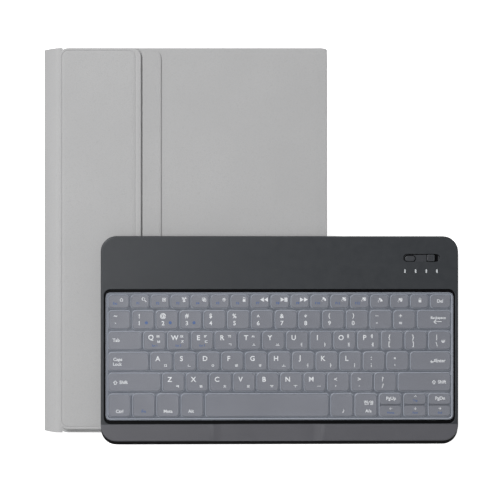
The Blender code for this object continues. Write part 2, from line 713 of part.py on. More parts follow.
# Switch slot with the connect button and the power knob, and the status windows in front of it
slot_x1 = WELL_X + CASE_SIDE - SLOT_FROM_SIDE + SLOT_LENGTH / 2
slot_x0 = slot_x1 - SLOT_LENGTH
slot_y = CASE_Y - SLOT_FROM_REAR
slot_y0, slot_y1 = slot_y - SLOT_WIDTH / 2, slot_y + SLOT_WIDTH / 2
slot = plate(slot_x0, slot_x1, slot_y0, slot_y1, SLOT_FLOOR, DECK_TOP + MM, SLOT_WIDTH / 2, 4)
keyboard_cut(top_case, "slot_cut", slot)
knob_x = slot_x0 + KNOB_START
knob = outline(knob_x, knob_x + KNOB_LENGTH, slot_y0 + GAP, slot_y1 - GAP, MM, 2)
knob_grip = inset(knob_x, knob_x + KNOB_LENGTH, slot_y0 + GAP, slot_y1 - GAP, MM, 0.3 * MM, 2)
knob_top = DECK_TOP + KNOB_PROUD
keyboard_piece(
    "power_switch",
    loft([(knob, SLOT_FLOOR + GAP), (knob, knob_top - 0.4 * MM), (knob_grip, knob_top)]),
    "knob",
    (knob_x + KNOB_LENGTH / 2, slot_y, SLOT_FLOOR + GAP),
)
button_x = slot_x0 + BUTTON_START
button_box = (button_x, button_x + BUTTON_LENGTH, slot_y0 + GAP, slot_y0 + GAP + BUTTON_WIDTH)
button_z = SLOT_FLOOR + BUTTON_TRAVEL + KEY_STOP_GAP
button_top = DECK_TOP - BUTTON_SUNK
keyboard_piece(
    "connect_button",
    loft([
        (outline(*button_box, BUTTON_WIDTH / 2), button_z),
        (outline(*button_box, BUTTON_WIDTH / 2), button_top - 0.25 * MM),
        (inset(*button_box, BUTTON_WIDTH / 2, 0.25 * MM), button_top),
    ]),
    "knob",
    (button_x + BUTTON_LENGTH / 2, slot_y0 + GAP + BUTTON_WIDTH / 2, button_z),
)
window_row_y = slot_y - WINDOW_BELOW_SLOT
window_row_x = slot_x0 + BUTTON_START
windows = bmesh.new()
prongs = bmesh.new()
for index in range(WINDOW_COUNT):
    x = window_row_x + index * WINDOW_PITCH
    half_x, half_y = WINDOW_WIDTH / 2, WINDOW_LENGTH / 2
    lens = (x - half_x, x + half_x, window_row_y - half_y, window_row_y + half_y)
    prong = outline(*lens, 0.3 * MM, 1)
    fitted = outline(lens[0] - GAP, lens[1] + GAP, lens[2] - GAP, lens[3] + GAP, 0.4 * MM, 1)
    add_loft(prongs, [(prong, FLANGE_Z + GUIDE_BAR / 2), (prong, DECK_TOP)])
    add_loft(windows, [(fitted, LATTICE_Z - MM), (fitted, DECK_TOP + MM)])
keyboard_cut(top_case, "window_holes", windows)
guide_end = window_row_x + (WINDOW_COUNT - 1) * WINDOW_PITCH
guide_plan = (
    window_row_x - 1.5 * MM,
    guide_end + 1.5 * MM,
    window_row_y - 2 * MM,
    window_row_y + 2 * MM,
)
guide = keyboard_piece(
    "status_light_guide",
    plate(*guide_plan, FLANGE_Z, FLANGE_Z + GUIDE_BAR),
    "guide",
)
boolean(guide, keyboard_piece("guide_prongs", prongs, None), "UNION")

# Charging port in the rear wall
port_x = (slot_x0 + slot_x1) / 2
port_mouth = CASE_Y - GAP
port = (port_x - PORT_WIDTH / 2, port_x + PORT_WIDTH / 2, port_mouth - PORT_DEPTH, port_mouth)
port_top = SUPPORT_Z + PORT_HEIGHT
port_gap = (port[0] - GAP, port[1] + GAP, CASE_Y - CASE_WALL - MM, CASE_Y + MM)
port_hole = plate(*port_gap, SUPPORT_Z - GAP, port_top + GAP, 0.2 * MM, 1)
keyboard_cut(top_case, "port_hole", port_hole)
usb_port = keyboard_piece("usb_port", plate(*port, SUPPORT_Z, port_top, 0.2 * MM, 1), "steel")
shell = 0.4 * MM
socket = (port[0] + shell, port[1] - shell, port[3] - 5 * MM, port[3] + MM)
mouth = plate(*socket, SUPPORT_Z + shell, port_top - shell, 0.1 * MM, 1)
keyboard_cut(usb_port, "port_mouth", mouth)

# Plates, electronics and feet
inner = (-CASE_X + CASE_WALL, CASE_X - CASE_WALL, -CASE_Y + CASE_WALL, CASE_Y - CASE_WALL)
base_ring = inset(*inner, CASE_CORNER - CASE_WALL, GAP)
base_plate = loft([(base_ring, BASE_Z), (base_ring, BASE_Z + BASE_PLATE)])
keyboard_piece("keyboard_base_plate", base_plate, "base_plastic")
under_keys = (-FIELD_X - MM, FIELD_X + MM, FIELD_Y0 - MM, FIELD_Y1 + MM)
keyboard_piece("key_support_plate", plate(*under_keys, SUPPORT_Z, SUPPORT_Z + SUPPORT_PLATE, 2 * MM), "steel")
keyboard_piece("key_membrane", plate(*under_keys, MEMBRANE_Z, MEMBRANE_Z + MEMBRANE, 2 * MM), "membrane")
bay_y0 = FIELD_Y1 + 3 * MM
circuit_x1 = CASE_X - CASE_WALL - CIRCUIT_SIDE_INSET
circuit_x0 = circuit_x1 - CIRCUIT_LENGTH
keyboard_piece(
    "circuit_board",
    plate(circuit_x0, circuit_x1, bay_y0, port[2] - GAP, SUPPORT_Z, SUPPORT_Z + CIRCUIT_THICKNESS),
    "circuit",
)
keyboard_piece(
    "battery",
    plate(
        inner[0] + BATTERY_SIDE_INSET,
        circuit_x0 - BATTERY_CIRCUIT_GAP,
        bay_y0,
        bay_y0 + BATTERY_WIDTH,
        SUPPORT_Z,
        SUPPORT_Z + BATTERY_THICKNESS,
        2 * MM,
    ),
    "battery_foil",
)
for side, name in ((-1, "rubber_foot_front"), (1, "rubber_foot_rear")):
    y = side * (CASE_Y - FOOT_INSET)
    foot = (-FOOT_LENGTH / 2, FOOT_LENGTH / 2, y - FOOT_WIDTH / 2, y + FOOT_WIDTH / 2)
    keyboard_piece(name, plate(*foot, 0.0, FOOT_HEIGHT, FOOT_WIDTH / 2, 4), "rubber")

# Silicone skin over the keys, with a skirt in the well
skin = (-WELL_X + SKIN_SIDE, WELL_X - SKIN_SIDE, WELL_Y0 + SKIN_FRONT, WELL_Y1 - SKIN_REAR)
skin_z = DECK_TOP
skin_rings = [
    (inset(*skin, SKIN_CORNER, SKIN_SKIRT), skin_z),
    (inset(*skin, SKIN_CORNER, SKIN_SKIRT), LATTICE_TOP + GAP),
    (outline(*skin, SKIN_CORNER), LATTICE_TOP + GAP),
    (outline(*skin, SKIN_CORNER), skin_z + KEY_SKIN / 2),
    (inset(*skin, SKIN_CORNER, KEY_SKIN / 2), skin_z + KEY_SKIN),
]
keyboard_piece("key_skin", loft(skin_rings), "silicone")
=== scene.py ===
import json
import math

import bmesh
import bpy
from mathutils import Matrix, Vector


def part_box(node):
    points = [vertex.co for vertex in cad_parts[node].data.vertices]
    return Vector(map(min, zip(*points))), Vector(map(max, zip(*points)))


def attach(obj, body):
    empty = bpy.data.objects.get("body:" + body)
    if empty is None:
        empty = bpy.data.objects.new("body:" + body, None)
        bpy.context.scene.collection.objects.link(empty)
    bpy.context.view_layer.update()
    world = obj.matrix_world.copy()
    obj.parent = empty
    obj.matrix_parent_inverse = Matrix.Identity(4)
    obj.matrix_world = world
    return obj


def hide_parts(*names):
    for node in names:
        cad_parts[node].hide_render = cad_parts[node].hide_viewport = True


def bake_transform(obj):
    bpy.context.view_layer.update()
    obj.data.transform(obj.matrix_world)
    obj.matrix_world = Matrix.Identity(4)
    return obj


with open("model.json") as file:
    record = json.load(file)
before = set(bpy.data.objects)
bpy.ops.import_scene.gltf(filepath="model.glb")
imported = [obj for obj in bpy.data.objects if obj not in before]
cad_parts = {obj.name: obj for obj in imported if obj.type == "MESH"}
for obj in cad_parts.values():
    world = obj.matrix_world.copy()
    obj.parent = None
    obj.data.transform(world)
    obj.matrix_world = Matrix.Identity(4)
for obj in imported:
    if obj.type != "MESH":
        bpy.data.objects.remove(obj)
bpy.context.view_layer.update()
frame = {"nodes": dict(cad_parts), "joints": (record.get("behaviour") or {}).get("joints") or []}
MM = 0.001
PATH_STEPS = 6
joints = {joint["name"]: joint for joint in frame["joints"]}


# ---- Shapes ----


def outline(x0, x1, y0, y1, rx, steps=8, ry=None):
    """A rounded rectangle, anticlockwise from its lower right corner.

    rx and ry may be pairs, which give the left and the right corners apart."""
    rx = rx if isinstance(rx, tuple) else (rx, rx)
    ry = rx if ry is None else ry if isinstance(ry, tuple) else (ry, ry)
    corners = ((x1, y0, -1, 1, 1), (x1, y1, -1, -1, 1), (x0, y1, 1, -1, 0), (x0, y0, 1, 1, 0))
    points = []
    for corner, (x, y, sx, sy, side) in enumerate(corners):
        for step in range(steps + 1):
            angle = math.radians(-90 + 90 * corner + 90 * step / steps)
            cx, cy = x + sx * rx[side], y + sy * ry[side]
            points.append((cx + rx[side] * math.cos(angle), cy + ry[side] * math.sin(angle)))
    return points


def shrunk(box, amount):
    x0, x1, y0, y1 = box
    return (x0 + amount, x1 - amount, y0 + amount, y1 - amount)


def inset(box, radius, amount, steps=8):
    """A box's outline brought in by amount, or let out where amount is negative."""
    return outline(*shrunk(box, amount), max(radius - amount, 0.1 * MM), steps)


def skinned(bm, levels):
    """Joins loops of vertices of the same length, one to the next, and returns the new faces."""
    made = []
    for near, far in zip(levels, levels[1:]):
        for i in range(len(near)):
            j = (i + 1) % len(near)
            made.append(bm.faces.new((near[i], near[j], far[j], far[i])))
    return made


def add_loft(bm, rings):
    """The closed surface through rings of (points, height), capped at both ends."""
    levels = [[bm.verts.new((x, y, z)) for x, y in points] for points, z in rings]
    made = [bm.faces.new(levels[0]), bm.faces.new(levels[-1])] + skinned(bm, levels)
    bmesh.ops.recalc_face_normals(bm, faces=made)


def loft(rings):
    bm = bmesh.new()
    add_loft(bm, rings)
    return bm


def strip(section, y0, y1, rows):
    """A sheet swept along Y. section lists the (x, z) of its closed cross-section."""
    bm = bmesh.new()
    levels = []
    for row in range(rows + 1):
        y = y0 + (y1 - y0) * row / rows
        levels.append([bm.verts.new((x, y, z)) for x, z in section])
    skinned(bm, levels)
    bm.faces.new(levels[0])
    bm.faces.new(levels[-1])
    bmesh.ops.recalc_face_normals(bm, faces=bm.faces)
    return bm


def thick(path, thickness):
    """The closed cross-section of a sheet to the right of the path, which its outer face follows."""
    inner = []
    for i, (x, z) in enumerate(path):
        ax, az = path[max(i - 1, 0)]
        bx, bz = path[min(i + 1, len(path) - 1)]
        length = math.hypot(bx - ax, bz - az)
        inner.append((x + (bz - az) / length * thickness, z - (bx - ax) / length * thickness))
    return path + inner[::-1]


def catmull_rom(a, b, c, d, t):
    square = 2 * a - 5 * b + 4 * c - d
    cube = 3 * b - a - 3 * c + d
    return 0.5 * (2 * b + (c - a) * t + square * t * t + cube * t**3)


def smooth_path(points):
    """Points along a Catmull-Rom curve through the given ones."""
    padded = [points[0]] + list(points) + [points[-1]]
    out = []
    for i in range(1, len(padded) - 2):
        p0, p1, p2, p3 = padded[i - 1 : i + 3]
        for step in range(PATH_STEPS):
            t = step / PATH_STEPS
            out.append(tuple(catmull_rom(*values, t) for values in zip(p0, p1, p2, p3)))
    out.append(tuple(points[-1]))
    return out


def make(name, bm, materials, body=None, matrix=None, smooth=40.0, replaces=()):
    """A piece from bm. Its material slots are the given materials."""
    mesh = bpy.data.meshes.new(name)
    if body is None and matrix is not None:
        bm.transform(matrix)
        matrix = None
    bm.to_mesh(mesh)
    bm.free()
    for entry in materials if isinstance(materials, (list, tuple)) else (materials,):
        mesh.materials.append(entry)
    mesh.shade_smooth()
    if smooth is not None:
        mesh.set_sharp_from_angle(angle=math.radians(smooth))
    made = bpy.data.objects.new(name, mesh)
    bpy.context.scene.collection.objects.link(made)
    if smooth is not None:
        even = made.modifiers.new("even_shading", "WEIGHTED_NORMAL")
        even.keep_sharp = True
    if matrix is not None:
        made.matrix_world = matrix
    if body:
        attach(made, body)
    if replaces:
        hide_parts(*replaces)
    return made


def carve(target, tool):
    """Cuts a bmesh's shape out of the target mesh, and applies the result."""
    mesh = bpy.data.meshes.new("tool")
    tool.to_mesh(mesh)
    tool.free()
    cutter = bpy.data.objects.new("tool", mesh)
    body = bpy.data.objects.new("body", target)
    for made in (cutter, body):
        bpy.context.scene.collection.objects.link(made)
    modifier = body.modifiers.new("carve", "BOOLEAN")
    modifier.operation = "DIFFERENCE"
    modifier.solver = "EXACT"
    modifier.object = cutter
    graph = bpy.context.evaluated_depsgraph_get()
    result = bpy.data.meshes.new_from_object(body.evaluated_get(graph))
    for made in (cutter, body):
        bpy.data.objects.remove(made)
    return result


def carved(bm, tools):
    mesh = bpy.data.meshes.new("blank")
    bm.to_mesh(mesh)
    bm.free()
    for tool in tools:
        mesh = carve(mesh, tool)
    out = bmesh.new()
    out.from_mesh(mesh)
    bmesh.ops.remove_doubles(out, verts=out.verts, dist=0.0001 * MM)
    return out


# ---- Materials ----


def linear(*values):
    """A colour given in display values of 0 to 255."""
    out = []
    for value in values:
        value = value / 255
        out.append(value / 12.92 if value <= 0.04045 else ((value + 0.055) / 1.055) ** 2.4)
    return (*out, 1.0)


class Surface:
    """A procedural material built around one Principled shader."""

    def __init__(self, name, roughness=0.5, metallic=0.0, specular=0.5):
        self.material = bpy.data.materials.new(name)
        self.material.use_nodes = True
        self.tree = self.material.node_tree
        self.shader = self.tree.nodes["Principled BSDF"]
        self.set("Roughness", roughness)
        self.set("Metallic", metallic)
        self.set("Specular IOR Level", specular)
        self.place = self.add("ShaderNodeTexCoord").outputs["Object"]
        self.height = None

    def set(self, socket, value):
        self.shader.inputs[socket].default_value = value

    def add(self, kind, **settings):
        node = self.tree.nodes.new(kind)
        for key, value in settings.items():
            if key.startswith("in_"):
                socket = node.inputs[int(key[3:])] if key[3:].isdigit() else node.inputs[key[3:]]
                if isinstance(value, bpy.types.NodeSocket):
                    self.tree.links.new(value, socket)
                else:
                    socket.default_value = value
            else:
                setattr(node, key, value)
        return node

    def noise(self, scale, detail=3.0, rough=0.5, stretch=None):
        place = self.place
        if stretch is not None:
            place = self.add("ShaderNodeMapping", in_Vector=place, in_Scale=stretch).outputs[0]
        node = self.add("ShaderNodeTexNoise", in_Vector=place, in_Scale=scale)
        node.inputs["Detail"].default_value = detail
        node.inputs["Roughness"].default_value = rough
        return node.outputs[0]

    def cells(self, scale, feature="DISTANCE_TO_EDGE"):
        node = self.add("ShaderNodeTexVoronoi", feature=feature, in_Vector=self.place, in_Scale=scale)
        return node.outputs["Distance"]

    def ramp(self, value, low, high, a, b):
        """Runs from a to b as the value goes from low to high."""
        node = self.add("ShaderNodeMapRange", in_0=value, in_1=low, in_2=high, in_3=a, in_4=b)
        return node.outputs[0]

    def mottle(self, scale, a=0.0, b=1.0):
        """Noise spread out to run from a to b."""
        return self.ramp(self.noise(scale), 0.3, 0.7, a, b)

    def maths(self, operation, *values):
        settings = {f"in_{index}": value for index, value in enumerate(values)}
        return self.add("ShaderNodeMath", operation=operation, **settings).outputs[0]

    def blend(self, value, a, b):
        node = self.add("ShaderNodeMix", data_type="RGBA")
        self.tree.links.new(value, node.inputs[0])
        for socket, colour in ((6, a), (7, b)):
            if isinstance(colour, bpy.types.NodeSocket):
                self.tree.links.new(colour, node.inputs[socket])
            else:
                node.inputs[socket].default_value = colour
        return node.outputs[2]

    def base(self, value):
        self.tree.links.new(value, self.shader.inputs["Base Color"])
        return self

    def rough(self, value):
        self.tree.links.new(value, self.shader.inputs["Roughness"])
        return self

    def bump(self, height, depth, strength=1.0):
        """Adds a bump whose height runs over depth metres. Several are stacked."""
        node = self.add("ShaderNodeBump", in_Height=height, in_Distance=depth, in_Strength=strength)
        if self.height is not None:
            self.tree.links.new(self.height, node.inputs["Normal"])
        self.height = node.outputs[0]
        self.tree.links.new(self.height, self.shader.inputs["Normal"])
        return self


def scaled(colour, factor):
    return (*[min(1.0, value * factor) for value in colour[:3]], 1.0)


def leather(name, colour):
    s = Surface(name, specular=0.4)
    shade = s.blend(s.mottle(22.0), scaled(colour, 0.97), scaled(colour, 1.03))
    pores = s.ramp(s.cells(1150.0), 0.0, 0.12, 0.0, 1.0)
    s.base(s.blend(pores, scaled(colour, 0.9), shade))
    s.rough(s.mottle(180.0, 0.5, 0.62))
    s.bump(pores, 0.035 * MM, 0.55)
    s.bump(s.noise(420.0, 4.0), 0.03 * MM, 0.35)
    return s.material


def moulded(name, colour, roughness, grain=2600.0, depth=0.012 * MM, specular=0.5, vary=0.04):
    """A moulded plastic or rubber with a fine grain."""
    s = Surface(name, specular=specular)
    s.base(s.blend(s.mottle(35.0), scaled(colour, 1 - vary), scaled(colour, 1 + vary)))
    s.rough(s.mottle(260.0, *roughness))
    s.bump(s.noise(grain, 2.0), depth, 0.5)
    return s.material


def fabric(name, colour):
    """Brushed cloth with its nap along the case."""
    s = Surface(name, roughness=0.92, specular=0.2)
    s.set("Sheen Weight", 0.25)
    s.set("Sheen Roughness", 0.5)
    nap = s.noise(2400.0, 4.0, 0.65, (1.0, 0.35, 1.0))
    swirl = s.ramp(s.noise(28.0), 0.35, 0.65, 0.0, 1.0)
    shade = s.blend(swirl, scaled(colour, 0.93), scaled(colour, 1.05))
    s.base(s.blend(s.ramp(nap, 0.3, 0.7, 0.0, 1.0), scaled(colour, 0.85), shade))
    s.bump(nap, 0.05 * MM, 0.5)
    return s.material


def brushed(name, colour, roughness=(0.25, 0.38), metallic=1.0):
    s = Surface(name, metallic=metallic)
    lines = s.noise(900.0, 3.0, 0.6, (1.0, 0.03, 1.0))
    s.base(s.blend(s.ramp(lines, 0.3, 0.7, 0.0, 1.0), scaled(colour, 0.9), scaled(colour, 1.05)))
    s.rough(s.ramp(lines, 0.3, 0.7, *roughness))
    s.bump(lines, 0.006 * MM, 0.4)
    return s.material


def greyboard(name, colour):
    s = Surface(name, roughness=0.92, specular=0.2)
    fibres = s.noise(700.0, 5.0, 0.7, (1.0, 0.4, 1.0))
    flecks = s.ramp(s.cells(500.0, "F1"), 0.05, 0.3, 0.0, 1.0)
    shade = s.blend(s.ramp(fibres, 0.3, 0.7, 0.0, 1.0), scaled(colour, 0.88), scaled(colour, 1.06))
    s.base(s.blend(flecks, scaled(colour, 0.72), shade))
    s.bump(fibres, 0.03 * MM, 0.5)
    return s.material


GREY = linear(178, 178, 178.5)
leather_grey = leather("folio_leather", GREY)
leather_patch = leather("hinge_leather", scaled(GREY, 0.99))
DECK = linear(47, 50, 54)
KEYCAP = linear(117, 118, 125)
# The palm strip is the deck's plastic painted paler, a painted sheen for the light it catches.
PALM_PAINTED_SHEEN = linear(88, 88, 93)
WEB = linear(82, 86, 95)
SHADE_BLACK = linear(6, 6, 8)
keycap = moulded("keycap_plastic", KEYCAP, (0.35, 0.5))
knob_plastic = moulded("knob_plastic", linear(60, 62, 66), (0.35, 0.45), 1800.0, 0.02 * MM)
insert_plastic = moulded("slot_insert_plastic", linear(58, 60, 64), (0.35, 0.45))
tray_plastic = moulded("tray_plastic_satin", linear(166, 167, 170), (0.38, 0.5), 1500.0, 0.015 * MM)
base_plastic = moulded("base_plastic_textured", linear(42, 44, 47), (0.5, 0.65), 1400.0, 0.05 * MM)
rubber = moulded("foot_rubber_matte", linear(32, 32, 34), (0.75, 0.9), 1200.0, 0.03 * MM, 0.2, 0.1)
guide = moulded("light_guide_diffuse", linear(205, 209, 212), (0.2, 0.3), 900.0, 0.004 * MM)
film = moulded("membrane_film_printed", linear(204, 207, 203), (0.3, 0.42), 500.0, 0.004 * MM)
foil = brushed("battery_foil_wrap", linear(182, 184, 188), (0.3, 0.5), 0.7)
steel = brushed("steel_plate", linear(192, 192, 194))
magnet = brushed("magnet_nickel", linear(168, 168, 172), (0.15, 0.28))
lining = fabric("microfibre_lining", linear(150, 151, 154))
board = greyboard("stiff_greyboard", linear(158, 155, 149))


def deck_plastic():
    """The top case: dark at the rear, painted paler on the palm strip as a painted sheen, and painted black as
    painted shade in the moat round the keys and the other hollows.
    """
    s = Surface("deck_plastic_satin")
    x, y, z = s.add("ShaderNodeSeparateXYZ", in_0=s.place).outputs
    # Painted sheen: in front of the well, on the palm strip, the plastic is painted paler for the light it
    # catches.
    rear = s.ramp(y, well[2] - 0.5 * MM, well[2] - 0.2 * MM, 0.0, 1.0)
    inside = s.maths("SUBTRACT", skin_box[1], s.maths("ABSOLUTE", x))
    inside = s.maths("MINIMUM", inside, s.maths("SUBTRACT", y, skin_box[2]))
    inside = s.maths("MINIMUM", inside, s.maths("SUBTRACT", skin_box[3], y))
    # Painted shade: faces sunk below the deck are painted black outside the key skin and within half a
    # millimetre of its edge, so the moat and the other hollows read as shadow. Further in they take the lattice
    # colour, and all sunk faces get less specular.
    floor = s.blend(s.ramp(inside, 0.5 * MM, 0.7 * MM, 0.0, 1.0), SHADE_BLACK, WEB)
    sunk = s.ramp(z, deck_top - 1.0 * MM, deck_top - 0.8 * MM, 1.0, 0.0)
    shade = s.blend(sunk, s.blend(rear, PALM_PAINTED_SHEEN, DECK), floor)
    s.tree.links.new(s.ramp(sunk, 0.0, 1.0, 0.5, 0.1), s.shader.inputs["Specular IOR Level"])
    tone = s.mottle(30.0, 0.96, 1.04)
    s.base(s.add("ShaderNodeVectorMath", operation="SCALE", in_0=shade, in_Scale=tone).outputs[0])
    s.rough(s.mottle(240.0, 0.4, 0.52))
    s.bump(s.noise(2400.0, 2.0), 0.012 * MM, 0.5)
    return s.material


def circuit_laminate():
    s = Surface("circuit_laminate_green", roughness=0.4)
    green, copper = linear(30, 84, 56), linear(58, 124, 84)
    tracks = s.add("ShaderNodeTexBrick", in_Vector=s.place, in_Scale=260.0)
    for index, colour in enumerate((green, green, copper), 1):
        tracks.inputs[index].default_value = colour
    s.base(tracks.outputs[0])
    s.bump(tracks.outputs[1], 0.03 * MM, 0.4)
    return s.material


def silicone():
    """A milky clear sheet, clear in its flats and walls and more opaque where it rounds over an edge, a painted
    highlight along each pocket's rim.
    """
    s = Surface("clear_silicone_milky")
    s.base(s.blend(s.mottle(25.0), linear(182, 188, 200), linear(192, 197, 208)))
    s.rough(s.mottle(300.0, 0.34, 0.46))
    normal = s.add("ShaderNodeTexCoord").outputs["Normal"]
    flat = s.maths("ABSOLUTE", s.add("ShaderNodeSeparateXYZ", in_0=normal).outputs[2])
    # Painted highlight: the band where the sheet rounds over a rim is made more opaque, so it shows as a pale
    # outline.
    edge = s.ramp(flat, 0.86, 0.985, 0.5, 0.09)
    wall = s.ramp(flat, 0.3, 0.7, 0.16, 1.0)
    s.tree.links.new(s.maths("MULTIPLY", edge, wall), s.shader.inputs["Alpha"])
    s.bump(s.noise(1500.0, 2.0), 0.01 * MM, 0.4)
    return s.material


def ink(name, colour):
    s = Surface(name, roughness=0.5)
    return s.base(s.blend(s.mottle(1600.0), scaled(colour, 0.92), colour)).material


# ---- Keyboard: its own frame, read from the case and the direction it lifts ----

lift = Vector(joints["keyboard_lift"]["axis"])
turn = Matrix.Rotation(math.atan2(lift.x, lift.z), 4, "Y")


def points_of(node, matrix):
    return [matrix @ vertex.co for vertex in frame["nodes"][node].data.vertices]


def extent(points):
    lows = [min(point[i] for point in points) for i in range(3)]
    highs = [max(point[i] for point in points) for i in range(3)]
    return (lows[0], highs[0], lows[1], highs[1], lows[2], highs[2])


turned = extent(points_of("keyboard_top_case", turn.inverted()))
soles = extent(points_of("rubber_foot_front", turn.inverted()))[4]
keyboard = turn @ Matrix.Translation(((turned[0] + turned[1]) / 2, (turned[2] + turned[3]) / 2, soles))
to_keyboard = keyboard.inverted()


def local_box(node):
    return extent(points_of(node, to_keyboard))


def key_tops(node):
    """The plan of each key of a node, left to right, from the flat tops of its caps."""
    bm = bmesh.new()
    bm.from_mesh(frame["nodes"][node].data)
    bm.transform(to_keyboard)
    bmesh.ops.remove_doubles(bm, verts=bm.verts, dist=0.001 * MM)
    top = max(vertex.co.z for vertex in bm.verts) - 0.01 * MM
    left = {face for face in bm.faces if all(vertex.co.z > top for vertex in face.verts)}
    boxes = []
    while left:
        reached = [left.pop()]
        points = []
        while reached:
            face = reached.pop()
            points += [vertex.co.copy() for vertex in face.verts]
            near = {other for edge in face.edges for other in edge.link_faces} & left
            left -= near
            reached += near
        x0, x1, y0, y1 = extent(points)[:4]
        boxes.append((x0 - CAP_TAPER, x1 + CAP_TAPER, y0 - CAP_TAPER, y1 + CAP_TAPER))
    bm.free()
    return sorted(boxes)


CAP_TAPER = 0.35 * MM
FRONT_SLOPE = 2.5 * MM
CAP_CORNER = 2.0 * MM
GAP = 0.3 * MM
FLANGE_REACH = 0.3 * MM
SLOT_LENGTH = 24.8 * MM
case = local_box("keyboard_top_case")
deck_top = case[5]
skin_box = local_box("key_skin")
NOT_KEYS = ("key_skin", "key_membrane", "key_support_plate")
key_nodes = [name for name in frame["nodes"] if name.startswith(("keys_", "key_"))]
keys = {name: key_tops(name) for name in key_nodes if name not in NOT_KEYS}
cap_box = local_box("key_space")
cap_foot, cap_top = cap_box[4], cap_box[5]
LATTICE_DEPTH = 1.2 * MM
LATTICE = 0.6 * MM
lattice_top = deck_top - LATTICE_DEPTH
lattice_low = lattice_top - LATTICE
MOAT_SIDE, MOAT_FRONT, MOAT_REAR = 1.1 * MM, 2.5 * MM, 2.1 * MM
well = (
    skin_box[0] - MOAT_SIDE,
    skin_box[1] + MOAT_SIDE,
    skin_box[2] - MOAT_FRONT,
    skin_box[3] + MOAT_REAR,
)


def fillet(box, radius, reach, drop, top, count=5, steps=10):
    """Rings that round a box's upper edge: reach in plan, drop in height."""
    rings = []
    for i in range(count + 1):
        angle = math.radians(90 * i / count)
        ring = inset(box, radius, reach * (1 - math.cos(angle)), steps)
        rings.append((ring, top - drop * (1 - math.sin(angle))))
    return rings


def top_case():
    """The deck's moulding, hollowed from below, with its well, key holes, slot, port and windows."""
    corner, wall = 10.5 * MM, 2.0 * MM
    plan = case[:4]
    rings = [
        (inset(plan, corner, 1.0 * MM, 10), case[4]),
        (inset(plan, corner, 0.3 * MM, 10), case[4] + 0.4 * MM),
        (outline(*plan, corner, 10), case[4] + 1.5 * MM),
        (outline(*plan, corner, 10), deck_top - 1.2 * FRONT_SLOPE - 0.8 * MM),
    ]
    for i in range(7):
        angle = math.radians(15 * i)
        reach, drop = 1.1 * MM * (1 - math.cos(angle)), 1.2 * MM * (1 - math.sin(angle))
        front_edge = FRONT_SLOPE + 0.8 * MM * (1 - math.cos(angle))
        box = (plan[0] + reach, plan[1] - reach, plan[2] + front_edge, plan[3] - reach)
        rings.append((outline(*box, corner - reach, 10), deck_top - drop))
    narrow = shrunk(plan, wall)
    narrowed = outline(*narrow[:2], narrow[2] + FRONT_SLOPE, narrow[3], corner - wall, 10)
    pocket = inset(plan, corner, wall, 10)
    inner = loft([
        (pocket, 0.0),
        (pocket, case[4] + MM),
        (narrowed, case[4] + 2 * MM),
        (narrowed, lattice_low),
    ])
    lip, well_corner = 0.35 * MM, 4.4 * MM
    mouth = loft([
        (outline(*well, well_corner, 8), lattice_top),
        (outline(*well, well_corner, 8), deck_top - lip),
        (inset(well, well_corner, -0.12 * MM, 8), deck_top - 0.12 * MM),
        (inset(well, well_corner, -lip, 8), deck_top),
        (inset(well, well_corner, -lip, 8), deck_top + MM),
    ])
    holes = bmesh.new()
    for boxes in keys.values():
        for box in boxes:
            hole = inset(box, CAP_CORNER, -GAP, 4)
            add_loft(holes, [(hole, lattice_low - MM), (hole, lattice_top + 0.5 * MM)])
    add_loft(holes, switch_slot())
    port = local_box("usb_port")
    port_ring = outline(port[0] - GAP, port[1] + GAP, port[3] - 3 * MM, port[3] + 3 * MM, 0.1 * MM, 1)
    add_loft(holes, [(port_ring, port[4] - GAP), (port_ring, port[5] + GAP)])
    for box in window_boxes():
        window = inset(box, 0.4 * MM, -0.08 * MM, 3)
        add_loft(holes, [(window, lattice_low - MM), (window, deck_top + MM)])
    bm = carved(loft(rings), [inner, mouth, holes, thumb_scoop()])
    made = make("keyboard_case", bm, deck_plastic(), "keyboard", keyboard, 30, ["keyboard_top_case"])
    return made


def switch_slot():
    """The rings of the slot that holds the connect button and the power knob, from its floor up."""
    knob, button = local_box("power_switch"), local_box("connect_button")
    x0 = button[0] - 1.2 * MM
    box = (x0, x0 + SLOT_LENGTH, knob[2] - GAP, knob[3] + GAP)
    radius = (box[3] - box[2]) / 2
    return [
        (outline(*box, radius, 8), knob[4] - GAP),
        (outline(*box, radius, 8), deck_top - 0.25 * MM),
        (inset(box, radius, -0.25 * MM, 8), deck_top),
        (inset(box, radius, -0.25 * MM, 8), deck_top + MM),
    ]


def window_boxes():
    """The four status windows, from the prongs of the light guide under them."""
    guide_box = local_box("status_light_guide")
    half_x, half_y = 0.6 * MM, 1.35 * MM
    y = (guide_box[2] + guide_box[3]) / 2
    first, last = guide_box[0] + 1.5 * MM, guide_box[1] - 1.5 * MM
    centres = [first + (last - first) * i / 3 for i in range(4)]
    return [(x - half_x, x + half_x, y - half_y, y + half_y) for x in centres]


def thumb_scoop():
    """A shallow hollow in the palm strip, as long as the space bar."""
    space = keys["key_space"][0]
    x0, x1 = space[0] + 2 * MM, space[1] - 2 * MM
    depth, run = 0.7 * MM, 9 * MM
    profile = [(x0 - MM, deck_top + 0.3 * MM)]
    for side, start in ((1, x0), (-1, x1)):
        eased = []
        for i in range(9):
            fall = depth * (0.5 - 0.5 * math.cos(math.pi * i / 8))
            eased.append((start + side * run * i / 8, deck_top - fall + 0.004 * MM))
        profile += eased[::side]
    profile.append((x1 + MM, deck_top + 0.3 * MM))
    return strip(profile, case[2] - MM, well[2] + 0.6 * MM, 1)


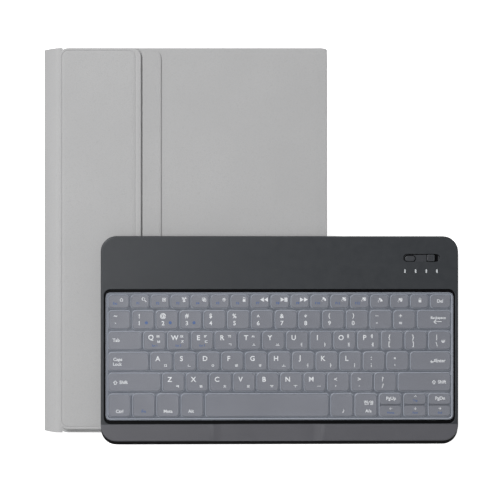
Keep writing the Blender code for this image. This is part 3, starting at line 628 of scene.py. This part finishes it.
def cap_rings(box):
    """A keycap's rings: straight sides, a rounded edge and a slightly dished top."""
    steps = 5
    return [
        (outline(*box, CAP_CORNER, steps), cap_foot + 0.2 * MM),
        (outline(*box, CAP_CORNER, steps), lattice_top + 0.3 * MM),
        (inset(box, CAP_CORNER, 0.1 * MM, steps), cap_top - 0.3 * MM),
        (inset(box, CAP_CORNER, 0.2 * MM, steps), cap_top - 0.12 * MM),
        (inset(box, CAP_CORNER, 0.38 * MM, steps), cap_top - 0.02 * MM),
        (inset(box, CAP_CORNER, 0.6 * MM, steps), cap_top),
        (inset(box, CAP_CORNER, 1.5 * MM, steps), cap_top - 0.03 * MM),
    ]


def keycaps():
    for name, boxes in keys.items():
        bm = bmesh.new()
        for box in boxes:
            add_loft(bm, cap_rings(box))
        plan = (boxes[0][0], boxes[-1][1], boxes[0][2], boxes[0][3])
        flange = outline(*shrunk(plan, -FLANGE_REACH), CAP_CORNER, 3)
        add_loft(bm, [(flange, cap_foot), (flange, cap_foot + 0.4 * MM)])
        make(name + "_caps", bm, keycap, name, keyboard, 50, [name])


# ---- Legends ----
#
# Each mark is (text, size, x, y, colour) in millimetres. x is from the key's left edge to the mark's middle, or,
# if negative, from the key's right edge to the mark's right end. y is down from the key's rear edge.

WHITE, BLUE = 0, 1
INK_THICKNESS = 0.02 * MM
drawn = {}


def glyph(text, size):
    """The mesh of a text, about the middle of its own box, and half its width."""
    if (text, size) not in drawn:
        curve = bpy.data.curves.new("legend", "FONT")
        curve.body = text
        curve.size = size * MM
        curve.resolution_u = 4
        curve.offset = 0.022 * size * MM
        curve.extrude = INK_THICKNESS
        holder = bpy.data.objects.new("legend", curve)
        bpy.context.scene.collection.objects.link(holder)
        graph = bpy.context.evaluated_depsgraph_get()
        mesh = bpy.data.meshes.new_from_object(holder.evaluated_get(graph))
        bpy.data.objects.remove(holder)
        x0, x1, y0, y1 = extent([vertex.co for vertex in mesh.vertices])[:4]
        mesh.transform(Matrix.Translation((-(x0 + x1) / 2, -(y0 + y1) / 2, 0.0)))
        drawn[text, size] = (mesh, (x1 - x0) / 2)
    return drawn[text, size]


def function_key(icon, label):
    return [(icon, 3.0, 8.5, 2.9, WHITE), (label, 2.3, 4.3, 5.3, BLUE)]


def plain(text, size, x, y, colour=WHITE):
    return [(text, size, x, y, colour)]


def number(upper, lower):
    blue = [("●", 2.6, 9.2, 7.9, BLUE)] if lower in "123" else []
    return [(upper, 4.0, 4.4, 3.4, WHITE), (lower, 4.0, 4.4, 8.2, WHITE)] + blue


def letter(main, single="", double="", lower=""):
    marks = [(main, 4.6, 4.6, 4.0, WHITE)]
    if double:
        marks.append((double, 2.9, 9.3, 3.1, WHITE))
    if single:
        marks.append((single, 2.9, 9.8, 6.6 if lower else 8.7, WHITE))
    if lower:
        marks.append((lower, 1.9, 7.0, 9.4, BLUE))
    return marks


def two(upper, lower):
    return [(upper, 4.0, 5.2, 4.0, WHITE), (lower, 4.0, 5.2, 8.6, WHITE)]


def arrow(sign, label):
    return [(sign, 2.4, 7.6, 1.9, WHITE), (label, 1.9, 7.6, 4.7, BLUE)]


icons = "⌂ 🔍 ▣ ✂ ⧉ ☼ ■ ◀◀ ▶❙❙ ▶▶ 🔈 🔉 🔊".split()
labels = ["Esc"] + [f"F{i}" for i in range(1, 13)]
function_keys = [function_key(*pair) for pair in zip(icons, labels)]
function_keys += [plain(sign, 3.0, 6.2, 3.4) for sign in "🔈🔊"]
function_keys += [plain("■", 2.4, 6.2, 3.9), plain("Del", 3.0, 6.3, 3.9)]
function_keys[6][0] = ("■", 2.4, 8.5, 3.4, WHITE)
function_keys[6].append(("∩", 2.6, 8.5, 2.2, WHITE))
function_keys[15].append(("∩", 2.6, 6.2, 2.7, WHITE))
number_keys = [number(*pair) for pair in zip("~!@#$%^&*()_+", "`1234567890-=")]
upper_marks = (
    ("Q", "ㅂ", "ㅃ", "Sys 1"),
    ("W", "ㅈ", "ㅉ", "Sys 2"),
    ("E", "ㄷ", "ㄸ", "Sys 3"),
    ("R", "ㄱ", "ㄲ"),
    ("T", "ㅅ", "ㅆ"),
    ("Y", "ㅛ"),
    ("U", "ㅕ"),
    ("I", "ㅑ"),
    ("O", "ㅐ", "ㅒ"),
    ("P", "ㅔ", "ㅖ"),
)
upper_keys = [letter(*marks) for marks in upper_marks] + [two("{", "["), two("}", "]")]
upper_keys.append(two("|", "\\") + [("₩", 2.6, 9.6, 6.6, WHITE)])
home_keys = [letter(*pair) for pair in zip("ASDFGHJKL", "ㅁㄴㅇㄹㅎㅗㅓㅏㅣ")]
home_keys += [two(":", ";"), two('"', "'")]
lower_keys = [letter(*pair) for pair in zip("ZXCVBNM", "ㅋㅌㅊㅍㅠㅜㅡ")]
lower_keys += [two("<", ","), two(">", "."), two("?", "/")]
legends = {
    "keys_esc_to_f4": function_keys[:5],
    "keys_f5_to_f8": function_keys[5:9],
    "keys_f9_to_f12": function_keys[9:13],
    "keys_mute_to_delete": function_keys[13:],
    "keys_grave_to_5": number_keys[:6],
    "keys_6_to_equals": number_keys[6:],
    "key_backspace": [[("Backspace", 2.5, -3.0, 4.9, WHITE), ("⟵", 4.6, -5.9, 7.3, WHITE)]],
    "key_tab": [plain("Tab", 3.1, 4.9, 5.6)],
    "keys_q_to_t": upper_keys[:5],
    "keys_y_to_backslash": upper_keys[5:],
    "key_caps_lock": [[("Caps", 3.0, 6.0, 4.8, WHITE), ("Lock", 3.0, 5.8, 7.7, WHITE)]],
    "keys_a_to_g": home_keys[:5],
    "keys_h_to_quote": home_keys[5:],
    "key_enter": [[("Enter", 3.1, -3.2, 5.6, WHITE), ("↵", 3.8, -10.4, 6.0, WHITE)]],
    "key_shift_left": [[("⇧", 3.4, 4.3, 6.1, WHITE), ("Shift", 3.1, 9.9, 5.9, WHITE)]],
    "keys_z_to_b": lower_keys[:5],
    "keys_n_to_slash": lower_keys[5:],
    "key_shift_right": [[("Shift", 3.1, -2.8, 5.9, WHITE), ("⇧", 3.4, -9.4, 6.1, WHITE)]],
    "key_ctrl": [plain("Ctrl", 3.1, 7.2, 11.4)],
    "key_fn": [plain("Fn", 3.1, 7.1, 11.4, BLUE)],
    "key_meta": [plain("Meta", 3.0, 7.2, 11.4)],
    "key_alt": [plain("Alt", 3.1, 6.3, 11.4)],
    "key_media": [plain("♪", 3.8, 8.2, 11.3)],
    "key_language": [[("한/영", 3.1, 8.9, 5.9, WHITE), ("A/a", 3.0, 8.7, 11.4, WHITE)]],
    "key_page_up": [plain("PgUp", 3.1, 7.8, 3.3)],
    "key_page_down": [plain("PgDn", 3.1, 7.8, 3.3)],
    "key_arrow_left": [arrow("←", "Home")],
    "key_arrow_right": [arrow("→", "End")],
    "key_arrow_up": [arrow("↑", "Top")],
    "key_arrow_down": [arrow("↓", "Foot")],
}


def print_legends():
    inks = [ink("legend_white", linear(252, 253, 254)), ink("legend_blue", linear(0, 78, 150))]
    for name, rows in legends.items():
        bm = bmesh.new()
        for (x0, x1, _, y1), marks in zip(keys[name], rows):
            for text, size, x, y, colour in marks:
                mesh, half = glyph(text, size)
                place = x0 + x * MM if x > 0 else x1 + x * MM - half
                first = len(bm.faces)
                known = set(bm.verts)
                bm.from_mesh(mesh)
                fresh = [vertex for vertex in bm.verts if vertex not in known]
                bmesh.ops.translate(bm, verts=fresh, vec=(place, y1 - y * MM, cap_top + INK_THICKNESS))
                bm.faces.ensure_lookup_table()
                for face in bm.faces[first:]:
                    face.material_index = colour
        make(name + "_legends", bm, inks, name, keyboard, None)


# ---- Silicone skin ----

SILICONE = 0.28 * MM


def key_skin():
    """One sheet with a raised pocket over each key and a bead round its edge."""
    steps = 5
    plan, corner = skin_box[:4], 3.4 * MM
    top = skin_box[5]
    web = top - 0.75 * MM
    bm = bmesh.new()

    def stack(rings):
        """Joins rings, and returns the edges of the first and the points of the last."""
        levels = [[bm.verts.new((x, y, z)) for x, y in points] for points, z in rings]
        skinned(bm, levels)
        first = levels[0]
        return [bm.edges.get((first[i - 1], first[i])) for i in range(len(first))], levels[-1]

    border = stack([
        (inset(plan, corner, 1.5 * MM, steps), web),
        (inset(plan, corner, 1.15 * MM, steps), web + 0.12 * MM),
        (inset(plan, corner, 0.8 * MM, steps), top - 0.28 * MM),
        (inset(plan, corner, 0.45 * MM, steps), top - 0.2 * MM),
        (inset(plan, corner, 0.12 * MM, steps), top - 0.34 * MM),
        (outline(*plan, corner, steps), top - 0.6 * MM),
        (outline(*plan, corner, steps), skin_box[4] + 0.05 * MM),
    ])[0]
    for name, boxes in keys.items():
        if name in ("key_page_up", "key_arrow_up", "key_page_down"):
            continue
        for x0, x1, y0, y1 in boxes:
            if name.startswith("key_arrow"):
                y1 = keys["key_page_up"][0][3]
            box = (x0, x1, y0, y1)
            edges, rim = stack([
                (inset(box, CAP_CORNER, -0.66 * MM, steps), web),
                (inset(box, CAP_CORNER, -0.56 * MM, steps), web + 0.08 * MM),
                (inset(box, CAP_CORNER, -0.48 * MM, steps), web + 0.3 * MM),
                (inset(box, CAP_CORNER, -0.4 * MM, steps), top - 0.24 * MM),
                (inset(box, CAP_CORNER, -0.2 * MM, steps), top - 0.08 * MM),
                (inset(box, CAP_CORNER, 0.0, steps), top),
                (inset(box, CAP_CORNER, 0.25 * MM, steps), top - 0.09 * MM),
            ])
            bm.faces.new(rim)
            border += edges
    bmesh.ops.triangle_fill(bm, edges=border, use_beauty=True)
    bmesh.ops.recalc_face_normals(bm, faces=bm.faces)
    middle = max(bm.faces, key=lambda face: face.calc_center_median().z)
    if middle.normal.z < 0:
        bmesh.ops.reverse_faces(bm, faces=bm.faces)
    made = make("silicone_key_skin", bm, silicone(), "key_skin", keyboard, 60, ["key_skin"])
    thickness = made.modifiers.new("thickness", "SOLIDIFY")
    thickness.thickness = SILICONE
    thickness.offset = -1.0
    return made


# ---- Switch, button and windows on the rear deck ----


def deck_fittings():
    """The power knob with its grips, the connect button and the status windows on their bar."""
    box = local_box("power_switch")
    plan, top = box[:4], box[5]
    rings = [(outline(*plan, MM, 6), box[4]), (outline(*plan, MM, 6), top - 0.4 * MM)]
    rings += fillet(plan, MM, 0.35 * MM, 0.35 * MM, top, 4, 6)[1:]
    bm = loft(rings)
    grips = bmesh.new()
    middle = (plan[0] + plan[1]) / 2
    for i in (-1, 0, 1):
        x = middle + i * 1.1 * MM
        ring = outline(x - 0.22 * MM, x + 0.22 * MM, plan[2] + 0.8 * MM, plan[3] - 0.8 * MM, 0.2 * MM, 4)
        add_loft(grips, [(ring, top - 0.18 * MM), (ring, top + MM)])
    bm = carved(bm, [grips])
    made = make("power_knob", bm, knob_plastic, "power_switch", keyboard, 35, ["power_switch"])
    box = local_box("connect_button")
    plan, radius = box[:4], (box[3] - box[2]) / 2
    rings = [(outline(*plan, radius, 10), box[4])]
    rings += fillet(plan, radius, 0.5 * MM, 0.3 * MM, box[5] - 0.02 * MM, 4)
    rings.append((inset(plan, radius, 1.3 * MM, 10), box[5]))
    bm = loft(rings)
    made = make("connect_key", bm, knob_plastic, "connect_button", keyboard, 40, ["connect_button"])
    guide_box = local_box("status_light_guide")
    bar = outline(*guide_box[:4], 0.6 * MM, 4)
    bm = bmesh.new()
    bar_top, corner, bevel = guide_box[4] + 0.4 * MM, 0.35 * MM, 0.08 * MM
    add_loft(bm, [(bar, guide_box[4]), (bar, bar_top)])
    for box in window_boxes():
        window = shrunk(box, 0.1 * MM)
        ring = outline(*window, corner, 4)
        face = inset(window, corner, bevel, 4)
        add_loft(bm, [(ring, bar_top), (ring, deck_top - 0.14 * MM), (face, deck_top - bevel)])
    made = make("status_windows", bm, guide, "keyboard", keyboard, 40, ["status_light_guide"])


def slot_insert():
    """The switch slot's raised floor, with a gap round the button and room for the knob to slide."""
    knob, button = local_box("power_switch"), local_box("connect_button")
    slot, low = switch_slot()[0]
    middle = (knob[2] + knob[3]) / 2
    floor = [(x, y - 0.5 * MM) if y > middle else (x, y) for x, y in slot]
    bm = loft([(floor, low + 0.02 * MM), (floor, deck_top - 0.9 * MM)])
    travel = joints["power_switch_slide"]["range_m"]
    ends = (knob[0] + travel[0] - GAP, knob[1] + travel[1] + GAP)
    room = outline(*ends, knob[2] - MM, knob[3] + MM, 0.1 * MM, 1)
    gap = inset(button[:4], (button[3] - button[2]) / 2, -0.6 * MM, 10)
    tools = [loft([(points, low - MM), (points, deck_top)]) for points in (room, gap)]
    made = make("slot_insert", carved(bm, tools), insert_plastic, "keyboard", keyboard, 35)
    return made


# ---- Folio ----


def sides(box, radius, amount):
    """The box's outline brought in by amount, but by CUT on its left, where the next leather joins."""
    rx, ry = [max(0.05 * MM, r - amount) for r in radius]
    x0, x1, y0, y1 = shrunk(box, amount)
    return outline(box[0] + CUT, x1, y0, y1, rx, 8, (min(rx, ry), ry))


def plan_of(node):
    low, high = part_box(node)
    return (low.x, high.x, low.y, high.y, low.z, high.z)


front = plan_of("front_cover_skin")
back = plan_of("back_cover_skin")
flap = plan_of("flap_skin")
patch = plan_of("flap_hinge_patch")
lower_axis = Vector(joints["cover_fold"]["pos_m"])
upper_axis = Vector(joints["back_fold"]["pos_m"])
flap_axis = Vector(joints["stand_flap_fold"]["pos_m"])
LEATHER = 0.65 * MM
WALL = 0.8 * MM
CUT = 2.4 * MM
TUCK = 5.6 * MM
FLAP_CORNER = 6 * MM
WINDOW_CORNER = 6 * MM
WINDOW_HALF = 12 * MM
tray = plan_of("tablet_tray")
camera_x, camera_y = tray[1] - 21.4 * MM, tray[2] + 20.2 * MM
camera_window = shrunk((camera_x, camera_x, camera_y, camera_y), -WINDOW_HALF)


def fold_leather():
    """The skin that runs from under the front cover, up the rounded spine and over the back cover."""
    along = (upper_axis - lower_axis).normalized()
    outward = Vector((-along.z, 0.0, along.x))
    length = (upper_axis - lower_axis).length

    def on_spine(s, t):
        point = lower_axis + along * s + outward * t * MM
        return (point.x, point.z)

    middle = on_spine(length / 2, 1.45)
    lower = [
        (front[0] + CUT, front[4]),
        (lower_axis.x + 1.3 * MM, front[4]),
        (lower_axis.x - 0.1 * MM, front[4] + 0.65 * MM),
        (lower_axis.x - 0.35 * MM, front[4] + 2.2 * MM),
        on_spine(length * 0.24, 1.2),
        middle,
    ]
    upper = [
        middle,
        on_spine(length * 0.76, 1.45),
        on_spine(length - 0.9 * MM, 1.25),
        (upper_axis.x + 0.5 * MM, back[5] - 0.06 * MM),
        (back[0] + CUT, back[5]),
    ]
    path = smooth_path(lower + upper[1:])
    cut = PATH_STEPS * (len(lower) - 1)
    low, high = front[2], front[3]
    bm = strip(thick(path[: cut + 1], LEATHER), low, high, 40)
    made = make("lower_fold_leather", bm, leather_grey, smooth=50, replaces=["spine_skin"])
    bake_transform(made)
    bm = strip(thick(path[cut:], LEATHER), low, high, 40)
    made = make("upper_fold_leather", bm, leather_grey, smooth=50, replaces=["spine_skin"])
    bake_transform(made)


def front_leather():
    box, radius = front[:4], (2.2 * MM, 2.2 * MM)
    rings = [
        (sides(box, radius, WALL), front[4] + LEATHER),
        (sides(box, radius, WALL), front[5] - 0.1 * MM),
        (sides(box, radius, WALL / 2), front[5]),
        (sides(box, radius, 0.1 * MM), front[5] - 0.2 * MM),
        (sides(box, radius, 0.0), front[5] - 0.5 * MM),
        (sides(box, radius, 0.0), front[4] + 0.6 * MM),
        (sides(box, radius, 0.15 * MM), front[4] + 0.25 * MM),
        (sides(box, radius, 0.5 * MM), front[4] + 0.03 * MM),
        (sides(box, radius, 1.0 * MM), front[4]),
    ]
    made = make("front_leather", loft(rings), leather_grey, "front_cover", None, 40, ["front_cover_skin"])
    return made


def back_leather():
    """The back cover's skin: pressed down all round the board that stiffens its outer part."""
    box, radius = back[:4], (4.5 * MM, 1.4 * MM)
    top, margin = back[5], back[5] - 0.1 * MM
    plateau = (patch[1] + 4.4 * MM, box[1] - 6.2 * MM, box[2] + 2.4 * MM, box[3] - 2.4 * MM)
    rings = [
        (sides(box, radius, WALL), back[5] - LEATHER),
        (sides(box, radius, WALL), back[4] + 0.1 * MM),
        (sides(box, radius, WALL / 2), back[4]),
        (sides(box, radius, 0.0), back[4] + 0.4 * MM),
        (sides(box, radius, 0.0), top - 0.7 * MM),
        (sides(box, radius, 0.15 * MM), top - 0.32 * MM),
        (sides(box, radius, 0.5 * MM), top - 0.13 * MM),
        (sides(box, radius, 1.0 * MM), margin),
        (outline(*shrunk(plateau, -0.5 * MM), 1.5 * MM), margin),
        (outline(*plateau, 1.2 * MM), top),
    ]
    edge = 0.3 * MM
    hole = loft([
        (outline(*camera_window, WINDOW_CORNER, 10), back[4] - MM),
        (outline(*camera_window, WINDOW_CORNER, 10), top - edge),
        (inset(camera_window, WINDOW_CORNER, -edge, 10), top),
        (inset(camera_window, WINDOW_CORNER, -edge, 10), top + MM),
    ])
    bm = carved(loft(rings), [hole])
    made = make("back_leather", bm, leather_grey, "back_cover", None, 40, ["back_cover_skin"])
    return made


def flap_leather():
    """The stand flap's skin, with a line pressed into it near its edges, and the lining under it."""
    low, top = flap[4], flap[5]

    def ring(amount, right=None):
        x0, x1, y0, y1 = shrunk(flap[:4], amount)
        x1 = x1 if right is None else flap[1] - right
        return outline(x0, x1, y0, y1, max(FLAP_CORNER - amount, 0.6 * MM), 8)

    rings = [
        (ring(WALL), top - LEATHER),
        (ring(WALL), low + 0.1 * MM),
        (ring(WALL / 2), low),
        (ring(0.1 * MM), low + 0.2 * MM),
        (ring(0.0), low + 0.5 * MM),
        (ring(0.0), top - 0.5 * MM),
        (ring(0.12 * MM), top - 0.24 * MM),
        (ring(0.35 * MM), top - 0.08 * MM),
        (ring(0.7 * MM), top),
        (ring(1.5 * MM, 3.1 * MM), top),
        (ring(1.7 * MM, 3.5 * MM), top - 0.16 * MM),
        (ring(1.85 * MM, 3.8 * MM), top - 0.26 * MM),
        (ring(2.2 * MM, 4.3 * MM), top),
        (ring(4.0 * MM, 6.5 * MM), top),
    ]
    made = make("flap_leather", loft(rings), leather_grey, "stand_flap", None, 40, ["flap_skin"])
    low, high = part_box("flap_lining")
    sheet = (low.x, high.x - TUCK - 0.3 * MM, low.y, high.y)
    corner = (FLAP_CORNER, 0.3 * MM)
    rings = [(outline(*sheet, corner, 8), z) for z in (low.z, high.z)]
    made = make("flap_lining_sheet", loft(rings), lining, "stand_flap", None, 40, ["flap_lining"])
    return made


def flap_fold_leather():
    """The hinge strip: glued to the back cover, it runs on under the flap's edge."""
    low, high = patch[4], patch[5]
    x0, x1 = flap[1] - TUCK, patch[1]
    columns_across = 30
    radius = 4.5 * MM
    bm = bmesh.new()
    columns = []
    for i in range(columns_across + 1):
        x = x0 + (x1 - x0) * i / columns_across
        near_end = max(0.0, x - (x1 - radius))
        trim = radius - math.sqrt(max(radius**2 - near_end**2, 0.0)) if near_end else 0.0
        y0, y1 = patch[2] + trim, patch[3] - trim
        crease = 0.14 * MM * math.exp(-(((x - flap_axis.x - 0.4 * MM) / (0.7 * MM)) ** 2))
        edge = 0.16 * MM * max(0.0, 1 - (x1 - x) / (0.5 * MM))
        top = high - crease - edge
        section = (
            (y0 + 0.25 * MM, low),
            (y0, low + 0.2 * MM),
            (y0 + 0.3 * MM, top),
            (y1 - 0.3 * MM, top),
            (y1, low + 0.2 * MM),
            (y1 - 0.25 * MM, low),
        )
        columns.append([bm.verts.new((x, y, z)) for y, z in section])
    skinned(bm, columns)
    bm.faces.new(columns[0])
    bm.faces.new(columns[-1])
    bmesh.ops.recalc_face_normals(bm, faces=bm.faces)
    made = make("flap_fold_leather", bm, leather_patch, smooth=35, replaces=["flap_hinge_patch"])
    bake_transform(made)
    return made


def tray_shell():
    """The tray that grips the tablet, with notches for its plug and keys, and the camera's window."""
    plan, low, high = tray[:4], tray[4], tray[5]
    corner, wall = 10 * MM, 1.5 * MM
    rings = [
        (inset(plan, corner, wall, 12), high - wall),
        (inset(plan, corner, wall, 12), low + 1.0 * MM),
        (inset(plan, corner, wall + 0.5 * MM, 12), low + 0.5 * MM),
        (inset(plan, corner, wall + 0.4 * MM, 12), low + 0.1 * MM),
        (inset(plan, corner, wall / 2, 12), low),
        (inset(plan, corner, 0.15 * MM, 12), low + 0.12 * MM),
        (outline(*plan, corner, 12), low + 0.4 * MM),
    ] + fillet(plan, corner, 1.2 * MM, 1.2 * MM, high, 5, 12)
    middle_z = (low + high - wall) / 2
    tools = bmesh.new()

    def notch(x, y, half_length, along_y=False):
        """Cuts a rounded notch through a side wall."""
        ring = outline(-half_length, half_length, -2.5 * MM, 2.5 * MM, 1.6 * MM, 6)
        levels = []
        for depth in (-4 * MM, 4 * MM):
            shifts = [(depth, a, b) if along_y else (a, depth, b) for a, b in ring]
            levels.append([tools.verts.new((x + dx, y + dy, middle_z + dz)) for dx, dy, dz in shifts])
        faces = [tools.faces.new(levels[0]), tools.faces.new(levels[1])] + skinned(tools, levels)
        bmesh.ops.recalc_face_normals(tools, faces=faces)

    notch((plan[0] + plan[1]) / 2, plan[3], 8 * MM)
    notch(plan[1], plan[2] + 62 * MM, 17 * MM, along_y=True)
    notch(plan[1] - 52 * MM, plan[2], 9 * MM)
    ring = outline(*camera_window, WINDOW_CORNER, 10)
    add_loft(tools, [(ring, high - 3 * MM), (ring, high + MM)])
    bm = carved(loft(rings), [tools])
    made = make("tray_shell", bm, tray_plastic, "back_cover", None, 35, ["tablet_tray"])
    return made


def dress(node, material, bevel=0.0):
    """Gives a CAD node its material, and softens its edges."""
    obj = frame["nodes"][node]
    obj.data.materials.clear()
    obj.data.materials.append(material)
    if bevel:
        weld = obj.modifiers.new("weld", "WELD")
        weld.merge_threshold = 0.001 * MM
        soft = obj.modifiers.new("soft_edges", "BEVEL")
        soft.width = bevel
        soft.segments = 3
        soft.limit_method = "ANGLE"
        soft.angle_limit = math.radians(40)
        soft.harden_normals = True


def dress_frame():
    for node in ("front_cover_board", "back_cover_board", "flap_board"):
        dress(node, board)
    dress("spine_board", lining, 0.15 * MM)
    dress("front_cover_lining", lining, 0.12 * MM)
    for node in ("front_magnet_upper", "front_magnet_lower", "flap_magnet"):
        dress(node, magnet, 0.15 * MM)
    for node in ("flap_catch_plate", "key_support_plate"):
        dress(node, steel)
    dress("usb_port", steel, 0.1 * MM)
    dress("keyboard_base_plate", base_plastic, 0.2 * MM)
    dress("key_membrane", film)
    dress("battery", foil, 0.4 * MM)
    dress("circuit_board", circuit_laminate())
    for node in ("rubber_foot_front", "rubber_foot_rear"):
        dress(node, rubber, 0.25 * MM)


# ---- Stage ----

SKY = 0.25
UNDER_SKY = 0.3
HORIZON = 0.96
# Name, place in metres, size in metres, power in watts
LAMPS = (
    ("key_light", (-1.6, 1.9, 2.8), 0.5, 82.0),
    ("fill_light", (-0.36, -0.02, 0.85), 0.35, 2.4),
)
FLOOR_RADIUS = 12.0
FLOOR_DROP = 0.2 * MM
FLOOR_GLOW = 0.85
FRAMED = 333.6 * MM
CAMERA_PLACE = (41.2 * MM, -3.9 * MM, 1050 * MM)
SENSOR = 36.0


def studio():
    """A pale sky, two lamps, white paper that glows a little, and the camera above the case."""
    scene = bpy.context.scene
    scene.view_settings.view_transform = "Standard"
    world = bpy.data.worlds.new("studio")
    scene.world = world
    world.use_nodes = True
    tree = world.node_tree
    background = tree.nodes["Background"]
    background.inputs["Color"].default_value = (1.0, 1.0, 1.0, 1.0)
    direction = tree.nodes.new("ShaderNodeTexCoord")
    parts = tree.nodes.new("ShaderNodeSeparateXYZ")
    tree.links.new(direction.outputs["Generated"], parts.inputs[0])
    glow = tree.nodes.new("ShaderNodeMath")
    glow.operation = "MINIMUM"
    for side, settings in enumerate(((-0.3, 0.0, UNDER_SKY, HORIZON), (0.12, 0.4, HORIZON, SKY))):
        ramp = tree.nodes.new("ShaderNodeMapRange")
        tree.links.new(parts.outputs[2], ramp.inputs[0])
        for index, value in enumerate(settings, 1):
            ramp.inputs[index].default_value = value
        tree.links.new(ramp.outputs[0], glow.inputs[side])
    tree.links.new(glow.outputs[0], background.inputs["Strength"])
    for name, place, size, power in LAMPS:
        lamp = bpy.data.lights.new(name, "AREA")
        lamp.energy = power
        lamp.size = size
        holder = bpy.data.objects.new(name, lamp)
        scene.collection.objects.link(holder)
        holder.location = place
        holder.rotation_euler = (-Vector(place)).to_track_quat("-Z", "Y").to_euler()

    bm = bmesh.new()
    bmesh.ops.create_circle(bm, cap_ends=True, segments=64, radius=FLOOR_RADIUS)
    paper = Surface("white_paper", roughness=0.9, specular=0.0)
    paper.base(paper.blend(paper.noise(3.0), linear(250, 250, 250), linear(252, 252, 252)))
    paper.set("Emission Color", (1.0, 1.0, 1.0, 1.0))
    paper.set("Emission Strength", FLOOR_GLOW)
    floor = make("floor", bm, paper.material, smooth=None)
    floor.location.z = -FLOOR_DROP
    floor.visible_diffuse = False
    floor.visible_glossy = False

    lens = bpy.data.cameras.new("camera")
    lens.sensor_width = SENSOR
    lens.lens = SENSOR / FRAMED * (CAMERA_PLACE[2] - back[5])
    lens.clip_start, lens.clip_end = 0.01, 100.0
    camera = bpy.data.objects.new("camera", lens)
    camera.location = CAMERA_PLACE
    scene.collection.objects.link(camera)
    scene.camera = camera


top_case()
keycaps()
print_legends()
key_skin()
deck_fittings()
slot_insert()
fold_leather()
front_leather()
back_leather()
flap_leather()
flap_fold_leather()
tray_shell()
dress_frame()
studio()
